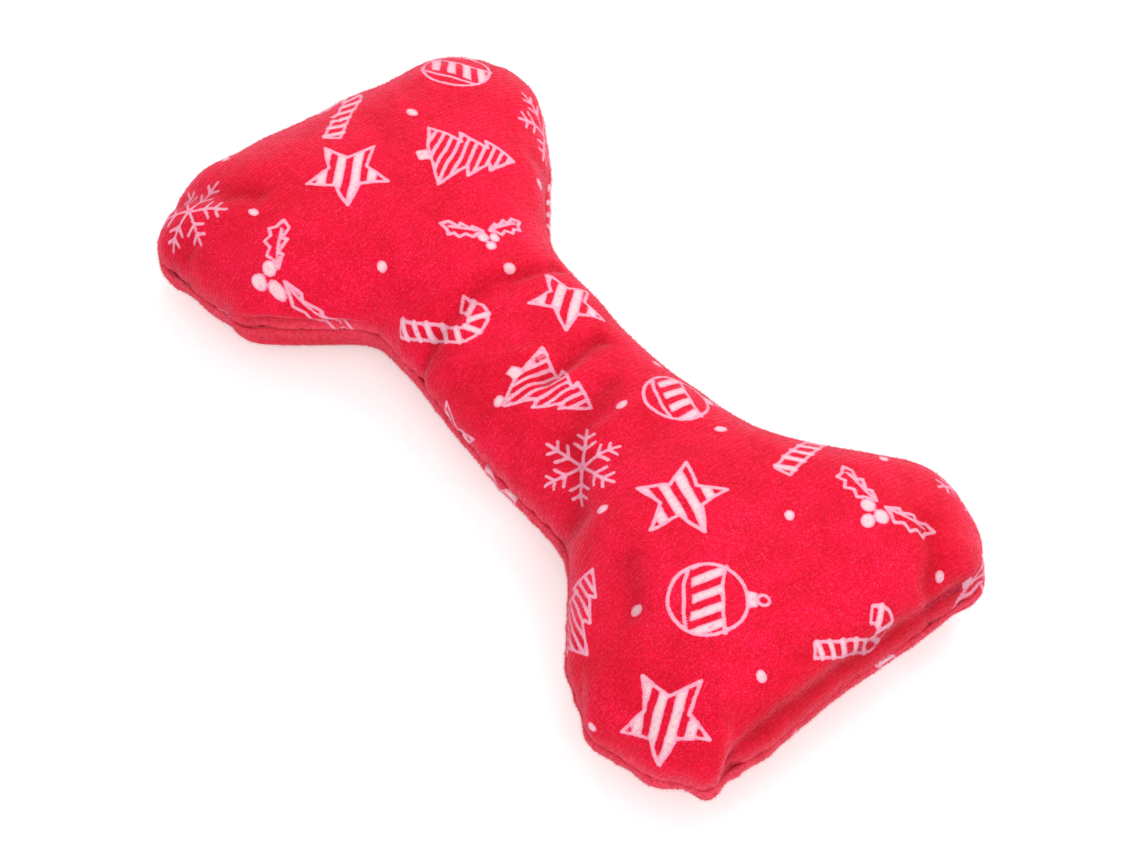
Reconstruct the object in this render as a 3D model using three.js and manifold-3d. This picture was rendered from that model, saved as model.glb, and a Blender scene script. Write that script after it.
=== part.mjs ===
// Squeaky plush dog bone: two velour panels sewn round their edge, fibre stuffing and a
// bellows squeaker with a reed unit in the middle of the shaft.
// Lengths are in millimetres. X runs along the bone, Z is up and the floor is at Z = 0.

import * as THREE from 'three';
import { mergeVertices } from 'three/addons/utils/BufferGeometryUtils.js';
import Module from 'manifold-3d';

const wasm = await Module();
wasm.setup();

// Cut pattern: half sizes to its outermost corners, before they are rounded
const halfLength = 115;
const halfWidth = 62;
const shaftHalfWidth = 26.2;
const cornerRadius = 20;
const edgeUseShare = 0.49;
const arcStepDegrees = 15;
const straightStep = 14;
// The hand-cut corners, round from the middle of the near side by the right-hand end: share of the
// half length, share of the half width of the lobes or of the shaft, and share of the corner radius
const nearRightShaftShares = [[0.03, -1.075, 10], [0.355, -1.01, 1.1]];
const rightLobeShares = [
  [0.585, -0.78, 1], [0.74, -0.9, 0.65], [0.895, -0.82, 0.8], [1, -0.655, 0.45], [0.995, -0.38, 0.7],
  [0.97, 0.025, 3], [0.97, 0.755, 0.6], [0.875, 0.895, 1.2], [0.72, 0.965, 1.5],
];
const farShaftShares = [[0.43, 1.2, 1.2], [0.195, 1.01, 2], [-0.01, 1, 10], [-0.32, 1, 1.2]];
const leftLobeShares = [
  [-0.53, 0.745, 1], [-0.74, 0.985, 1.25], [-0.95, 0.8, 2], [-0.985, 0, 2.75], [-0.995, -0.36, 0.6],
  [-0.995, -0.6, 0.9], [-0.89, -0.935, 0.8], [-0.575, -0.83, 0.5],
];
const nearLeftShaftShares = [[-0.4, -0.92, 0.65], [-0.235, -0.945, 2]];

// Swell of the stuffed bone above and below its seam
const seamHeight = 13.7;
const knobCrown = 24.5;
const shaftCrown = 16.5;
const spineHalf = 66;
const spineSteps = 8;
const crownExponent = 2.7;
const shaftBellyExponent = 0.6;
const lobeBellyExponent = 0.4;
const restFlatShare = 0.4;
const crownSteps = 6;

// Lumps of the stuffing under the upper cloth. Each row holds a share of the height, then shares of
// the spacing, of the skew and of a turn for the wave along the bone and for the wave across it.
const lumpHeight = 0.6;
const lumpSpacing = 40;
const lumpSkew = 0.4;
const lumpShares = [[1, 1.15, 1, 0.1, 0.95, 0, 0.17], [0.6, 0.78, -1.2, 0.32, 0.72, 0.75, 0.31]];

// Where the crown is fuller towards the seam: x and its reach as shares of the half length, y and its
// reach as shares of the half width, and the exponent's growth as a share of it
const shoulderShares = [
  [1, 0.4, -0.05, 0.6, 1.4],
  [-0.72, 0.25, -0.95, 0.35, 0.6],
];

// Main creases of the upper cloth. Each row holds the two ends as shares of the half length and the
// half width, then shares of the depth and of the reach to each side. A minus depth is a ridge.
const creaseDepth = 1.6;
const creaseReach = 7;
const creaseShares = [
  [-0.25, -0.29, -0.2, 0.26, 1, 1],
  [-0.33, -0.28, -0.3, 0.16, -0.5, 1.1],
  [0.025, -0.12, 0.02, 0.235, 0.5, 0.8],
  [0.16, 0.01, 0.29, -0.355, 0.75, 1.1],
  [0.54, -0.43, 0.645, -0.57, 0.9, 1.1],
  [-0.905, -0.72, -0.755, -0.53, 1, 1],
  [0.83, 0.61, 0.94, 0.46, 0.9, 1],
  [-0.49, 0.63, -0.38, 0.52, 0.9, 0.9],
];

// Tuck that the seam draws into the upper cloth along the right-hand end
const endTuckDepth = 1.8;
const endTuckEase = 14;

// Velour cloth, its seam and the rolled edge beside it
const clothThickness = 1.6;
const seamAllowance = 6;
const seamGap = 0.3;
const grooveDepth = 1.8;
const rollInset = 0.6;
const rollHeight = 1.2;
const sideInset = 0.3;
const sideHeight = 3;
const clearance = 0.3;

// Sewing threads
const seamThreadDiameter = 0.7;
const seamThreadInset = 1;
const closingHalfSpan = 36;
const closingThreadDiameter = 0.5;
const closingThreadInset = 0.7;
const closingPitch = 6;
const closingSwing = 0.25;
const threadSides = 6;

// Stuffing: room left under the cloth, and where the wads of the ends meet those of the shaft
const stuffingEase = 0.5;
const stuffingTuckShare = 1.3;
const wadSplitX = 34;

// Squeaker bulb, measured from its own underside
const bulbFloor = 5;
const bulbRadius = 15.5;
const bulbHeight = 20;
const bulbWall = 0.8;
const baseHeight = 5.3;
const baseCorner = 3;
const crownRimHeight = 15;
const crownCorner = 4;
const convolutions = 2;
const convolutionDepth = 2.6;
const bulbSides = 36;
const cornerSteps = 3;
// Along one convolution: share of its pitch, then share of its depth
const convolutionShares = [[0, 0], [0.12, 0], [0.38, 1], [0.62, 1], [0.88, 0], [1, 0]];

// Reed unit in the socket of the bulb's base
const plugRecess = 1.5;
const plugFlangeRadius = 5.6;
const plugFlangeThickness = 1;
const plugTubeRadius = 3.7;
const plugTubeWall = 0.8;
const plugTubeTop = 9;
const plugLipRadius = 2;
const plugLipThickness = 1.6;
const socketTop = 7.5;
const tongueWidth = 3.4;
const tongueThickness = 0.3;
const tongueClampLength = 1.8;
const tongueFreeLength = 5;
const wedgeHeight = 3;
const shallotOverhang = 0.5;
const channelWidth = 1.6;
const channelDepth = 1.2;
const reedSides = 24;

// Finishes
const velour = new THREE.MeshStandardMaterial({ color: 0xf31d42, roughness: 0.95 });
const thread = new THREE.MeshStandardMaterial({ color: 0xc81a36, roughness: 0.7 });
const fibre = new THREE.MeshStandardMaterial({ color: 0xf3f1ec, roughness: 1 });
const softPlastic = new THREE.MeshStandardMaterial({ color: 0xe9e4d8, roughness: 0.35 });
const hardPlastic = new THREE.MeshStandardMaterial({ color: 0xf2f2f0, roughness: 0.3 });
const reedFilm = new THREE.MeshStandardMaterial({ color: 0xd9c27a, roughness: 0.25 });

const { lerp, clamp, smoothstep, degToRad } = THREE.MathUtils;

// The corners of the outline, each with its place and its radius
function outlineCorners() {
  const corner = (half) => ([xShare, yShare, radiusShare]) => ({
    at: new THREE.Vector2(xShare * halfLength, yShare * half),
    radius: radiusShare * cornerRadius,
  });
  return [
    ...nearRightShaftShares.map(corner(shaftHalfWidth)),
    ...rightLobeShares.map(corner(halfWidth)),
    ...farShaftShares.map(corner(shaftHalfWidth)),
    ...leftLobeShares.map(corner(halfWidth)),
    ...nearLeftShaftShares.map(corner(shaftHalfWidth)),
  ];
}

// The rounded outline with its bounding box centred on the origin, from the middle of the near side
function wholeOutline() {
  const corners = outlineCorners();
  const points = [];
  corners.forEach(({ at, radius }, i) => {
    const back = corners[(i + corners.length - 1) % corners.length].at.clone().sub(at);
    const ahead = corners[(i + 1) % corners.length].at.clone().sub(at);
    const turn = Math.PI - Math.abs(back.angleTo(ahead));
    const wanted = radius * Math.tan(turn / 2);
    const reach = Math.min(wanted, edgeUseShare * back.length(), edgeUseShare * ahead.length());
    const start = at.clone().add(back.setLength(reach));
    const end = at.clone().add(ahead.setLength(reach));
    if (i > 0) points.push(...straightPoints(points[points.length - 1], start));
    const round = new THREE.QuadraticBezierCurve(start, at, end);
    const steps = Math.max(Math.round(turn / degToRad(arcStepDegrees)), Math.ceil((2 * reach) / straightStep));
    points.push(...round.getPoints(steps));
  });
  points.push(...straightPoints(points[points.length - 1], points[0]));
  const middle = new THREE.Box2().setFromPoints(points).getCenter(new THREE.Vector2());
  points.forEach((point) => point.sub(middle));
  const near = points.filter((point) => point.y < 0).sort((p, q) => Math.abs(p.x) - Math.abs(q.x));
  const first = points.indexOf(near[0]);
  return [...points.slice(first), ...points.slice(0, first)];
}

// Points between two ends of a straight stretch, without the ends
function straightPoints(from, to) {
  const line = new THREE.LineCurve(from, to);
  return line.getPoints(Math.ceil(line.getLength() / straightStep)).slice(1, -1);
}

const outline = wholeOutline();

// Share of the end tuck at each point of the outline, growing towards the right-hand end
const endX = Math.max(...outline.map((point) => point.x));
const endTuckShares = outline.map(({ x }) => smoothstep(x, endX - endTuckEase, endX));

// The outline moved inwards by one distance, and by a share of the end tuck where it lies
function insetLoop(inset, tuckShare = 0) {
  return outline.map((point, i) => {
    const before = outline[(i + outline.length - 1) % outline.length];
    const after = outline[(i + 1) % outline.length];
    const along = after.clone().sub(before).normalize();
    const depth = inset + tuckShare * endTuckShares[i] * endTuckDepth;
    return new THREE.Vector2(point.x - along.y * depth, point.y + along.x * depth);
  });
}

// One loop round the bone, at a share of the way from its spine to the inset outline. On the spine
// itself the points of both sides fall together in even steps.
function ring(inset, share, heightAt, tuckShare = 0) {
  const step = (2 * spineHalf) / spineSteps;
  return insetLoop(inset, tuckShare).map((point) => {
    const start = clamp(point.x, -spineHalf, spineHalf);
    const spine = new THREE.Vector2(share > 0 ? start : Math.round(start / step) * step, 0);
    const place = spine.lerp(point, share);
    return new THREE.Vector3(place.x, place.y, heightAt(place.x, place.y));
  });
}

// Rise of the upper surface over the stuffing's lumps and its fall into the creases, at one place
function reliefAt(x, y) {
  const wholeTurn = 2 * Math.PI;
  const lumps = lumpShares.map(([height, along, skew, start, across, lean, begin]) => {
    const first = (x + skew * lumpSkew * y) / (along * lumpSpacing) + start;
    const second = (y + lean * lumpSkew * x) / (across * lumpSpacing) + begin;
    return height * lumpHeight * Math.sin(wholeTurn * first) * Math.cos(wholeTurn * second);
  });
  const place = new THREE.Vector3(x, y, 0);
  const creases = creaseShares.map(([fromX, fromY, toX, toY, depth, reach]) => {
    const line = new THREE.Line3(
      new THREE.Vector3(fromX * halfLength, fromY * halfWidth, 0),
      new THREE.Vector3(toX * halfLength, toY * halfWidth, 0),
    );
    const away = place.distanceTo(line.closestPointToPoint(place, true, new THREE.Vector3()));
    return -depth * creaseDepth * Math.exp(-((away / (reach * creaseReach)) ** 2));
  });
  return [...lumps, ...creases].reduce((sum, part) => sum + part, 0);
}

// Height of the crown above the seam, from the shaft to the thicker ends
function crownAt(x) {
  return lerp(shaftCrown, knobCrown, smoothstep(Math.abs(x), 0, spineHalf));
}

// Exponent of the crown's curve, larger where the filling stands up to the seam
function crownExponentAt(x, y) {
  const growth = shoulderShares.map(([middleX, reachX, middleY, reachY, share]) => {
    const along = (x / halfLength - middleX) / reachX;
    const across = (y / halfWidth - middleY) / reachY;
    return share * Math.exp(-(along ** 2 + across ** 2));
  });
  return crownExponent * growth.reduce((sum, part) => sum + part, 1);
}

// Exponent of the underside's curve, from the shaft to the fuller ends
function bellyExponentAt(x) {
  return lerp(shaftBellyExponent, lobeBellyExponent, smoothstep(Math.abs(x), 0, spineHalf));
}

// Loops of the upper surface, from the spine outwards
function crownRings(inset) {
  const rings = [];
  for (let j = 0; j < crownSteps; j += 1) {
    const share = Math.sin((j * Math.PI) / (2 * crownSteps));
    const heightAt = (x, y) => {
      const fall = Math.sqrt(1 - share ** crownExponentAt(x, y));
      return seamHeight + (crownAt(x) - inset + reliefAt(x, y)) * fall;
    };
    rings.push(ring(inset, share, heightAt));
  }
  return rings;
}

// Loops of the underside, which is flat near the spine where the bone rests
function undersideRings(inset) {
  const rings = [ring(inset, 0, () => inset)];
  for (let j = 0; j < crownSteps - 1; j += 1) {
    const swing = Math.sin((j * Math.PI) / (2 * (crownSteps - 1)));
    const share = lerp(restFlatShare, 1, swing);
    const rise = (x) => 1 - (1 - swing ** 2) ** bellyExponentAt(x);
    rings.push(ring(inset, share, (x) => lerp(inset, seamHeight, rise(x))));
  }
  return rings;
}

// Close a stack of loops into one skin, each of its quads split along the shorter diagonal. A loop
// drawn together to a point or a line ends it.
function skin(rings) {
  const around = rings[0].length;
  const points = rings.flat();
  const index = [];
  for (let k = 0; k < rings.length - 1; k += 1) {
    for (let i = 0; i < around; i += 1) {
      const next = (i + 1) % around;
      const [a, b] = [k * around + i, k * around + next];
      const [c, d] = [a + around, b + around];
      const level = points[a].distanceTo(points[d]) < points[b].distanceTo(points[c]);
      index.push(...(level ? [a, c, d, a, d, b] : [a, c, b, b, c, d]));
    }
  }
  const geometry = new THREE.BufferGeometry().setFromPoints(points);
  geometry.setIndex(index);
  return withoutSlivers(mergeVertices(geometry));
}

// Leave out the faces that lost a corner when their points were merged
function withoutSlivers(geometry) {
  const old = geometry.getIndex().array;
  const kept = [];
  for (let i = 0; i < old.length; i += 3) {
    const [a, b, c] = old.slice(i, i + 3);
    if (a !== b && b !== c && c !== a) kept.push(a, b, c);
  }
  geometry.setIndex(kept);
  geometry.computeVertexNormals();
  return geometry;
}

// A panel of cloth: outer surface, rolled edge, turned-in allowance and inner surface
function coverPanel(side, surface, tuckShare) {
  const level = (distance) => () => seamHeight + side * distance;
  const rings = [
    ...surface(0),
    ring(sideInset, 1, level(sideHeight), tuckShare),
    ring(rollInset, 1, level(rollHeight)),
    ring(grooveDepth, 1, level(seamGap / 2)),
    ring(seamAllowance, 1, level(seamGap / 2)),
    ring(seamAllowance, 1, level(seamGap / 2 + clothThickness)),
    ring(clothThickness, 1, level(seamGap / 2 + clothThickness), tuckShare),
    ...surface(clothThickness).reverse(),
  ];
  return skin(side > 0 ? rings : rings.reverse());
}

// A thread as a tube through stations, each with its place along the near side, inset and height
function threadTube(stations, diameter) {
  const sections = stations.map(({ length, inset, height }) => {
    const centre = placeAlong(length, inset);
    const outwards = placeAlong(length, inset - diameter / 2).sub(centre);
    const section = [];
    for (let i = 0; i < threadSides; i += 1) {
      const angle = (i * 2 * Math.PI) / threadSides;
      const shift = outwards.clone().multiplyScalar(Math.cos(angle));
      const lift = (diameter / 2) * Math.sin(angle);
      section.push(new THREE.Vector3(centre.x + shift.x, centre.y + shift.y, height + lift));
    }
    return section;
  });
  const capped = [sections[0], sections[sections.length - 1]].map((section) => {
    const middle = section.reduce((sum, p) => sum.add(p), new THREE.Vector3()).divideScalar(threadSides);
    return section.map(() => middle);
  });
  return skin([capped[0], ...sections, capped[1]]);
}

// Distances of the outline's points from the middle of the near side, one for each and the whole
const outlineLengths = [0];
outline.forEach((point, i) => {
  const next = outline[(i + 1) % outline.length];
  outlineLengths.push(outlineLengths[i] + point.distanceTo(next));
});
const perimeter = outlineLengths[outline.length];

// The point that lies one distance along the inset outline
function placeAlong(distance, inset) {
  const loop = insetLoop(inset);
  const wrapped = (distance + perimeter) % perimeter;
  const i = Math.max(0, outlineLengths.findIndex((value) => value > wrapped) - 1);
  const share = (wrapped - outlineLengths[i]) / (outlineLengths[i + 1] - outlineLengths[i]);
  return loop[i].clone().lerp(loop[(i + 1) % loop.length], share);
}

// Machine seam, from one end of the turning gap round the bone to the other
function seamThread() {
  const first = closingHalfSpan + clearance;
  const last = perimeter - first;
  const between = outlineLengths.filter((value) => value > first && value < last);
  const stations = [first, ...between, last];
  return threadTube(
    stations.map((length) => ({ length, inset: seamThreadInset, height: seamHeight })),
    seamThreadDiameter,
  );
}

// Hand stitches to and fro between the panels, over the turning gap
function closingThread() {
  const count = 2 * Math.round((2 * closingHalfSpan) / closingPitch);
  const stations = [];
  for (let i = 0; i <= count; i += 1) {
    stations.push({
      length: lerp(-closingHalfSpan, closingHalfSpan, i / count),
      inset: closingThreadInset,
      height: seamHeight + (i % 2 ? closingSwing : -closingSwing),
    });
  }
  return threadTube(stations, closingThreadDiameter);
}

// Turn a closed geometry into a solid that can be cut and joined
function solidOf(geometry) {
  const bare = new THREE.BufferGeometry();
  bare.setAttribute('position', geometry.getAttribute('position').clone());
  if (geometry.getIndex()) bare.setIndex(geometry.getIndex().clone());
  const merged = withoutSlivers(mergeVertices(bare));
  merged.deleteAttribute('normal');
  return new wasm.Manifold(new wasm.Mesh({
    numProp: 3,
    vertProperties: new Float32Array(merged.getAttribute('position').array),
    triVerts: new Uint32Array(merged.getIndex().array),
  }));
}

// Turn a solid back into a geometry
function geometryOf(solid) {
  const mesh = solid.getMesh();
  const geometry = new THREE.BufferGeometry();
  geometry.setAttribute('position', new THREE.BufferAttribute(mesh.vertProperties, mesh.numProp));
  geometry.setIndex(new THREE.BufferAttribute(mesh.triVerts, 1));
  geometry.computeVertexNormals();
  return geometry;
}

// A profile of [radius, height] points turned about Z, closed on itself or ending on the axis
function revolve(profile, sides) {
  const points = profile.map(([radius, height]) => new THREE.Vector2(radius, height));
  return new THREE.LatheGeometry(points, sides).rotateX(Math.PI / 2);
}

// Points of a quarter-round corner between two angles, in degrees from the radius direction
function cornerArc(radius, height, corner, fromDegrees, toDegrees) {
  const points = [];
  for (let i = 0; i <= cornerSteps; i += 1) {
    const angle = degToRad(lerp(fromDegrees, toDegrees, i / cornerSteps));
    points.push([radius + corner * Math.cos(angle), height + corner * Math.sin(angle)]);
  }
  return points;
}

// Lower zone of the bulb: a dish with a recess and an open socket for the reed unit
function squeakerBase() {
  const socket = plugTubeRadius + clearance;
  const recess = plugFlangeRadius + clearance;
  const bend = bulbRadius - baseCorner;
  return revolve([
    [socket, plugRecess],
    [recess, plugRecess],
    [recess, 0],
    ...cornerArc(bend, baseCorner, baseCorner, -90, 0),
    [bulbRadius, baseHeight],
    [bulbRadius - bulbWall, baseHeight],
    ...cornerArc(bend, baseCorner, baseCorner - bulbWall, 0, -90),
    [recess + bulbWall, bulbWall],
    [recess + bulbWall, plugRecess + bulbWall],
    [socket + bulbWall, plugRecess + bulbWall],
    [socket + bulbWall, socketTop],
    [socket, socketTop],
    [socket, plugRecess],
  ], bulbSides);
}

// Folded side wall of the bulb, between the base and the crown
function squeakerBellows() {
  const low = baseHeight + clearance;
  const pitch = (crownRimHeight - clearance - low) / convolutions;
  const outer = [];
  for (let turn = 0; turn < convolutions; turn += 1) {
    convolutionShares.slice(turn ? 1 : 0).forEach(([heightShare, depthShare]) => {
      outer.push([bulbRadius - depthShare * convolutionDepth, low + (turn + heightShare) * pitch]);
    });
  }
  const inner = outer.map(([radius, height]) => [radius - bulbWall, height]).reverse();
  return revolve([...outer, ...inner, outer[0]], bulbSides);
}

// Top zone of the bulb: a shallow cap open downwards
function squeakerCrown() {
  const bend = bulbRadius - crownCorner;
  const centre = bulbHeight - crownCorner;
  return revolve([
    [0, bulbHeight - bulbWall],
    ...cornerArc(bend, centre, crownCorner - bulbWall, 90, 0),
    [bulbRadius - bulbWall, crownRimHeight],
    [bulbRadius, crownRimHeight],
    ...cornerArc(bend, centre, crownCorner, 0, 90),
    [0, bulbHeight],
  ], bulbSides);
}

// Space that the bulb takes up in the stuffing
function squeakerPocket() {
  const radius = bulbRadius + clearance;
  return revolve([
    [0, -clearance],
    ...cornerArc(radius - baseCorner, baseCorner - clearance, baseCorner, -90, 0),
    ...cornerArc(radius - crownCorner, bulbHeight + clearance - crownCorner, crownCorner, 0, 90),
    [0, bulbHeight + clearance],
  ], bulbSides);
}

const plugFlangeTop = plugRecess - clearance;
const plugBore = plugTubeRadius - plugTubeWall;
const ledge = plugFlangeTop - plugFlangeThickness + plugLipThickness;
const reedFloor = ledge + clearance;
const pivotHeight = reedFloor + wedgeHeight;
const reedRadius = plugBore - clearance;
const reedHalfGap = tongueThickness / 2 + clearance;

// Flanged tube with a lip at its foot that carries the shallot and the wedge
function reedPlug() {
  const foot = plugFlangeTop - plugFlangeThickness;
  return revolve([
    [plugLipRadius, foot],
    [plugFlangeRadius, foot],
    [plugFlangeRadius, plugFlangeTop],
    [plugTubeRadius, plugFlangeTop],
    [plugTubeRadius, plugTubeTop],
    [plugBore, plugTubeTop],
    [plugBore, ledge],
    [plugLipRadius, ledge],
    [plugLipRadius, foot],
  ], reedSides);
}

// Half-round section on one side of the tongue, with or without an air channel in its flat
function halfRound(side, channel) {
  const edge = Math.acos(reedHalfGap / reedRadius);
  const section = new THREE.Shape();
  section.absarc(0, 0, reedRadius, Math.PI / 2 - edge, Math.PI / 2 + edge, false);
  if (channel) {
    section.lineTo(-channelWidth / 2, reedHalfGap);
    section.lineTo(-channelWidth / 2, reedHalfGap + channelDepth);
    section.lineTo(channelWidth / 2, reedHalfGap + channelDepth);
    section.lineTo(channelWidth / 2, reedHalfGap);
  }
  section.closePath();
  return { section, turn: side > 0 ? 0 : Math.PI };
}

function reedShallot() {
  const { section, turn } = halfRound(-1, true);
  const depth = wedgeHeight + tongueFreeLength + shallotOverhang;
  const shape = new THREE.ExtrudeGeometry(section, { depth, bevelEnabled: false, curveSegments: reedSides / 2 });
  return shape.rotateZ(turn).translate(0, 0, reedFloor);
}

function reedWedge() {
  const { section, turn } = halfRound(1, false);
  const shape = new THREE.ExtrudeGeometry(section, {
    depth: wedgeHeight,
    bevelEnabled: false,
    curveSegments: reedSides / 2,
  });
  return shape.rotateZ(turn).translate(0, 0, reedFloor);
}

// Thin strip with a round free end, clamped between the shallot and the wedge
function reedTongue() {
  const half = tongueWidth / 2;
  const shoulder = tongueFreeLength - half;
  const strip = new THREE.Shape();
  strip.moveTo(-half, -tongueClampLength);
  strip.lineTo(half, -tongueClampLength);
  strip.absarc(0, shoulder, half, 0, Math.PI, false);
  strip.closePath();
  const shape = new THREE.ExtrudeGeometry(strip, {
    depth: tongueThickness,
    bevelEnabled: false,
    curveSegments: reedSides / 2,
  });
  return shape.translate(0, 0, -tongueThickness / 2).rotateX(Math.PI / 2).translate(0, 0, pivotHeight);
}

// All the room inside the covers, with a slot for the turned-in allowances
function stuffingWhole() {
  const inset = clothThickness + stuffingEase;
  const slotHalf = seamGap / 2 + clothThickness + clearance;
  const slotInset = seamAllowance + clearance;
  return solidOf(skin([
    ...crownRings(inset),
    ring(inset, 1, () => seamHeight + slotHalf, stuffingTuckShare),
    ring(slotInset, 1, () => seamHeight + slotHalf),
    ring(slotInset, 1, () => seamHeight - slotHalf),
    ring(inset, 1, () => seamHeight - slotHalf),
    ...undersideRings(inset).reverse(),
  ]));
}

// A block between two corners, to cut the stuffing into wads
function block(low, high) {
  const size = high.clone().sub(low);
  const middle = low.clone().add(high).divideScalar(2);
  return solidOf(new THREE.BoxGeometry(size.x, size.y, size.z).translate(middle.x, middle.y, middle.z));
}

// The wads of stuffing: the two ends, then the shaft above and below the seam
function stuffingWads() {
  const whole = stuffingWhole();
  const pocket = solidOf(squeakerPocket().translate(0, 0, bulbFloor));
  const reachY = halfWidth;
  const top = seamHeight + knobCrown + lumpHeight + creaseDepth;
  const nearGap = clearance / 2;
  const cut = (low, high) => block(new THREE.Vector3(...low), new THREE.Vector3(...high));
  const shaft = whole.subtract(pocket);
  return {
    stuffing_left_end: whole.intersect(cut([-halfLength, -reachY, 0], [-wadSplitX - nearGap, reachY, top])),
    stuffing_right_end: whole.intersect(cut([wadSplitX + nearGap, -reachY, 0], [halfLength, reachY, top])),
    stuffing_above_squeaker: shaft.intersect(cut(
      [-wadSplitX + nearGap, -reachY, seamHeight + nearGap],
      [wadSplitX - nearGap, reachY, top],
    )),
    stuffing_below_squeaker: shaft.intersect(cut(
      [-wadSplitX + nearGap, -reachY, 0],
      [wadSplitX - nearGap, reachY, seamHeight - nearGap],
    )),
  };
}

function namedMesh(name, geometry, material) {
  const mesh = new THREE.Mesh(geometry, material);
  mesh.name = name;
  return mesh;
}

// Squeaker bulb and reed unit, in the bulb's own frame
function squeaker() {
  const group = new THREE.Group();
  group.add(
    namedMesh('squeaker_base', squeakerBase(), softPlastic),
    namedMesh('squeaker_bellows', squeakerBellows(), softPlastic),
    namedMesh('squeaker_crown', squeakerCrown(), softPlastic),
    namedMesh('reed_plug', reedPlug(), hardPlastic),
    namedMesh('reed_shallot', reedShallot(), hardPlastic),
    namedMesh('reed_wedge', reedWedge(), hardPlastic),
    namedMesh('reed_tongue', reedTongue(), reedFilm),
  );
  group.position.z = bulbFloor;
  return group;
}

const toy = new THREE.Group();
toy.add(
  namedMesh('top_cover', coverPanel(1, crownRings, 1), velour),
  namedMesh('bottom_cover', coverPanel(-1, undersideRings, 0), velour),
  namedMesh('seam_thread', seamThread(), thread),
  namedMesh('closing_thread', closingThread(), thread),
);
Object.entries(stuffingWads()).forEach(([name, solid]) => {
  toy.add(namedMesh(name, geometryOf(solid), fibre));
});
toy.add(squeaker());

export default toy;
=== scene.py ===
"""Squeaky dog toy: a stuffed bone of printed velour round a bellows squeaker.

Lengths are in millimetres until they become a mesh.
"""

import logging
import math
from dataclasses import dataclass, field
from enum import Enum

import bpy
import numpy as np
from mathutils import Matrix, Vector, kdtree


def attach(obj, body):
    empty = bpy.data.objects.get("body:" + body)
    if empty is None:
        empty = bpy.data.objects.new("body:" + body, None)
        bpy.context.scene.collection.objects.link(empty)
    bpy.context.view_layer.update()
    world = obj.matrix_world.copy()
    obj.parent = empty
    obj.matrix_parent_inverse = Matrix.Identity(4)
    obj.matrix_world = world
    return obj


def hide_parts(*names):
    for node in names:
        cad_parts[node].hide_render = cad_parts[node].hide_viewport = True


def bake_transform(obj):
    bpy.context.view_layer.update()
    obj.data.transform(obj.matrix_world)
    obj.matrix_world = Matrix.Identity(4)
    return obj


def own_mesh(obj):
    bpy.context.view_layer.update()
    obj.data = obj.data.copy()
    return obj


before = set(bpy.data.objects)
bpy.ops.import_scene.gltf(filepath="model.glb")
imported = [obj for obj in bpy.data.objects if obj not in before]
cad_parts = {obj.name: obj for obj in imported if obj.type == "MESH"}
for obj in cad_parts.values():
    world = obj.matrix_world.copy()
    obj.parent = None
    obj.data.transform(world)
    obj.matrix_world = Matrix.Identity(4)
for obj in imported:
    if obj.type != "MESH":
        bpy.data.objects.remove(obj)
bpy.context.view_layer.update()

LOG = logging.getLogger("squeaky_dog_toy")
MM = 0.001
NO_INK = -9.0
FAR = 1e9
TINY = 1e-9


def smoothstep(value: np.ndarray, low: float, high: float) -> np.ndarray:
    """Returns value eased from 0 at low to 1 at high."""
    share = np.clip((value - low) / (high - low), 0, 1)
    return share * share * (3 - 2 * share)


def lerp(low: np.ndarray, high: np.ndarray, share: np.ndarray) -> np.ndarray:
    """Returns the value that lies at share of the way from low to high."""
    return low + (high - low) * share


def distance_to(places: np.ndarray, start: np.ndarray, end: np.ndarray) -> np.ndarray:
    """Measures how far places are from the straight stretch between two points.

    Args:
        places: The places, one pair a row.
        start: The stretch's first point.
        end: Its last point.

    Returns:
        One distance a place.
    """
    span = np.subtract(end, start)
    away = places - start
    step = np.clip(away @ span / max(span @ span, TINY), 0, 1)
    return np.linalg.norm(away - step[:, None] * span, axis=1)


class SoftNoise:
    """Smooth seeded noise over the cloth, from -1 to 1."""

    def __init__(self, seed: int, size: int = 128) -> None:
        """Fills the lattice.

        Args:
            seed: Seed of the lattice's values.
            size: Lattice points each way, after which it repeats.
        """
        self.size = size
        self.lattice = np.random.default_rng(seed).uniform(-1, 1, (size, size))

    def at(self, points: np.ndarray, wavelength: float) -> np.ndarray:
        """Reads the noise.

        Args:
            points: Places on the cloth, one pair a row.
            wavelength: Distance between lattice points.

        Returns:
            One value a point.
        """
        place = points / wavelength + self.size * 4
        cell = np.floor(place).astype(int)
        step = place - cell
        step = step**3 * (step * (step * 6 - 15) + 10)
        low = cell % self.size
        high = (cell + 1) % self.size
        near = lerp(self.lattice[low[:, 0], low[:, 1]], self.lattice[high[:, 0], low[:, 1]], step[:, 0])
        far = lerp(self.lattice[low[:, 0], high[:, 1]], self.lattice[high[:, 0], high[:, 1]], step[:, 0])
        return lerp(near, far, step[:, 1])


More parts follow.
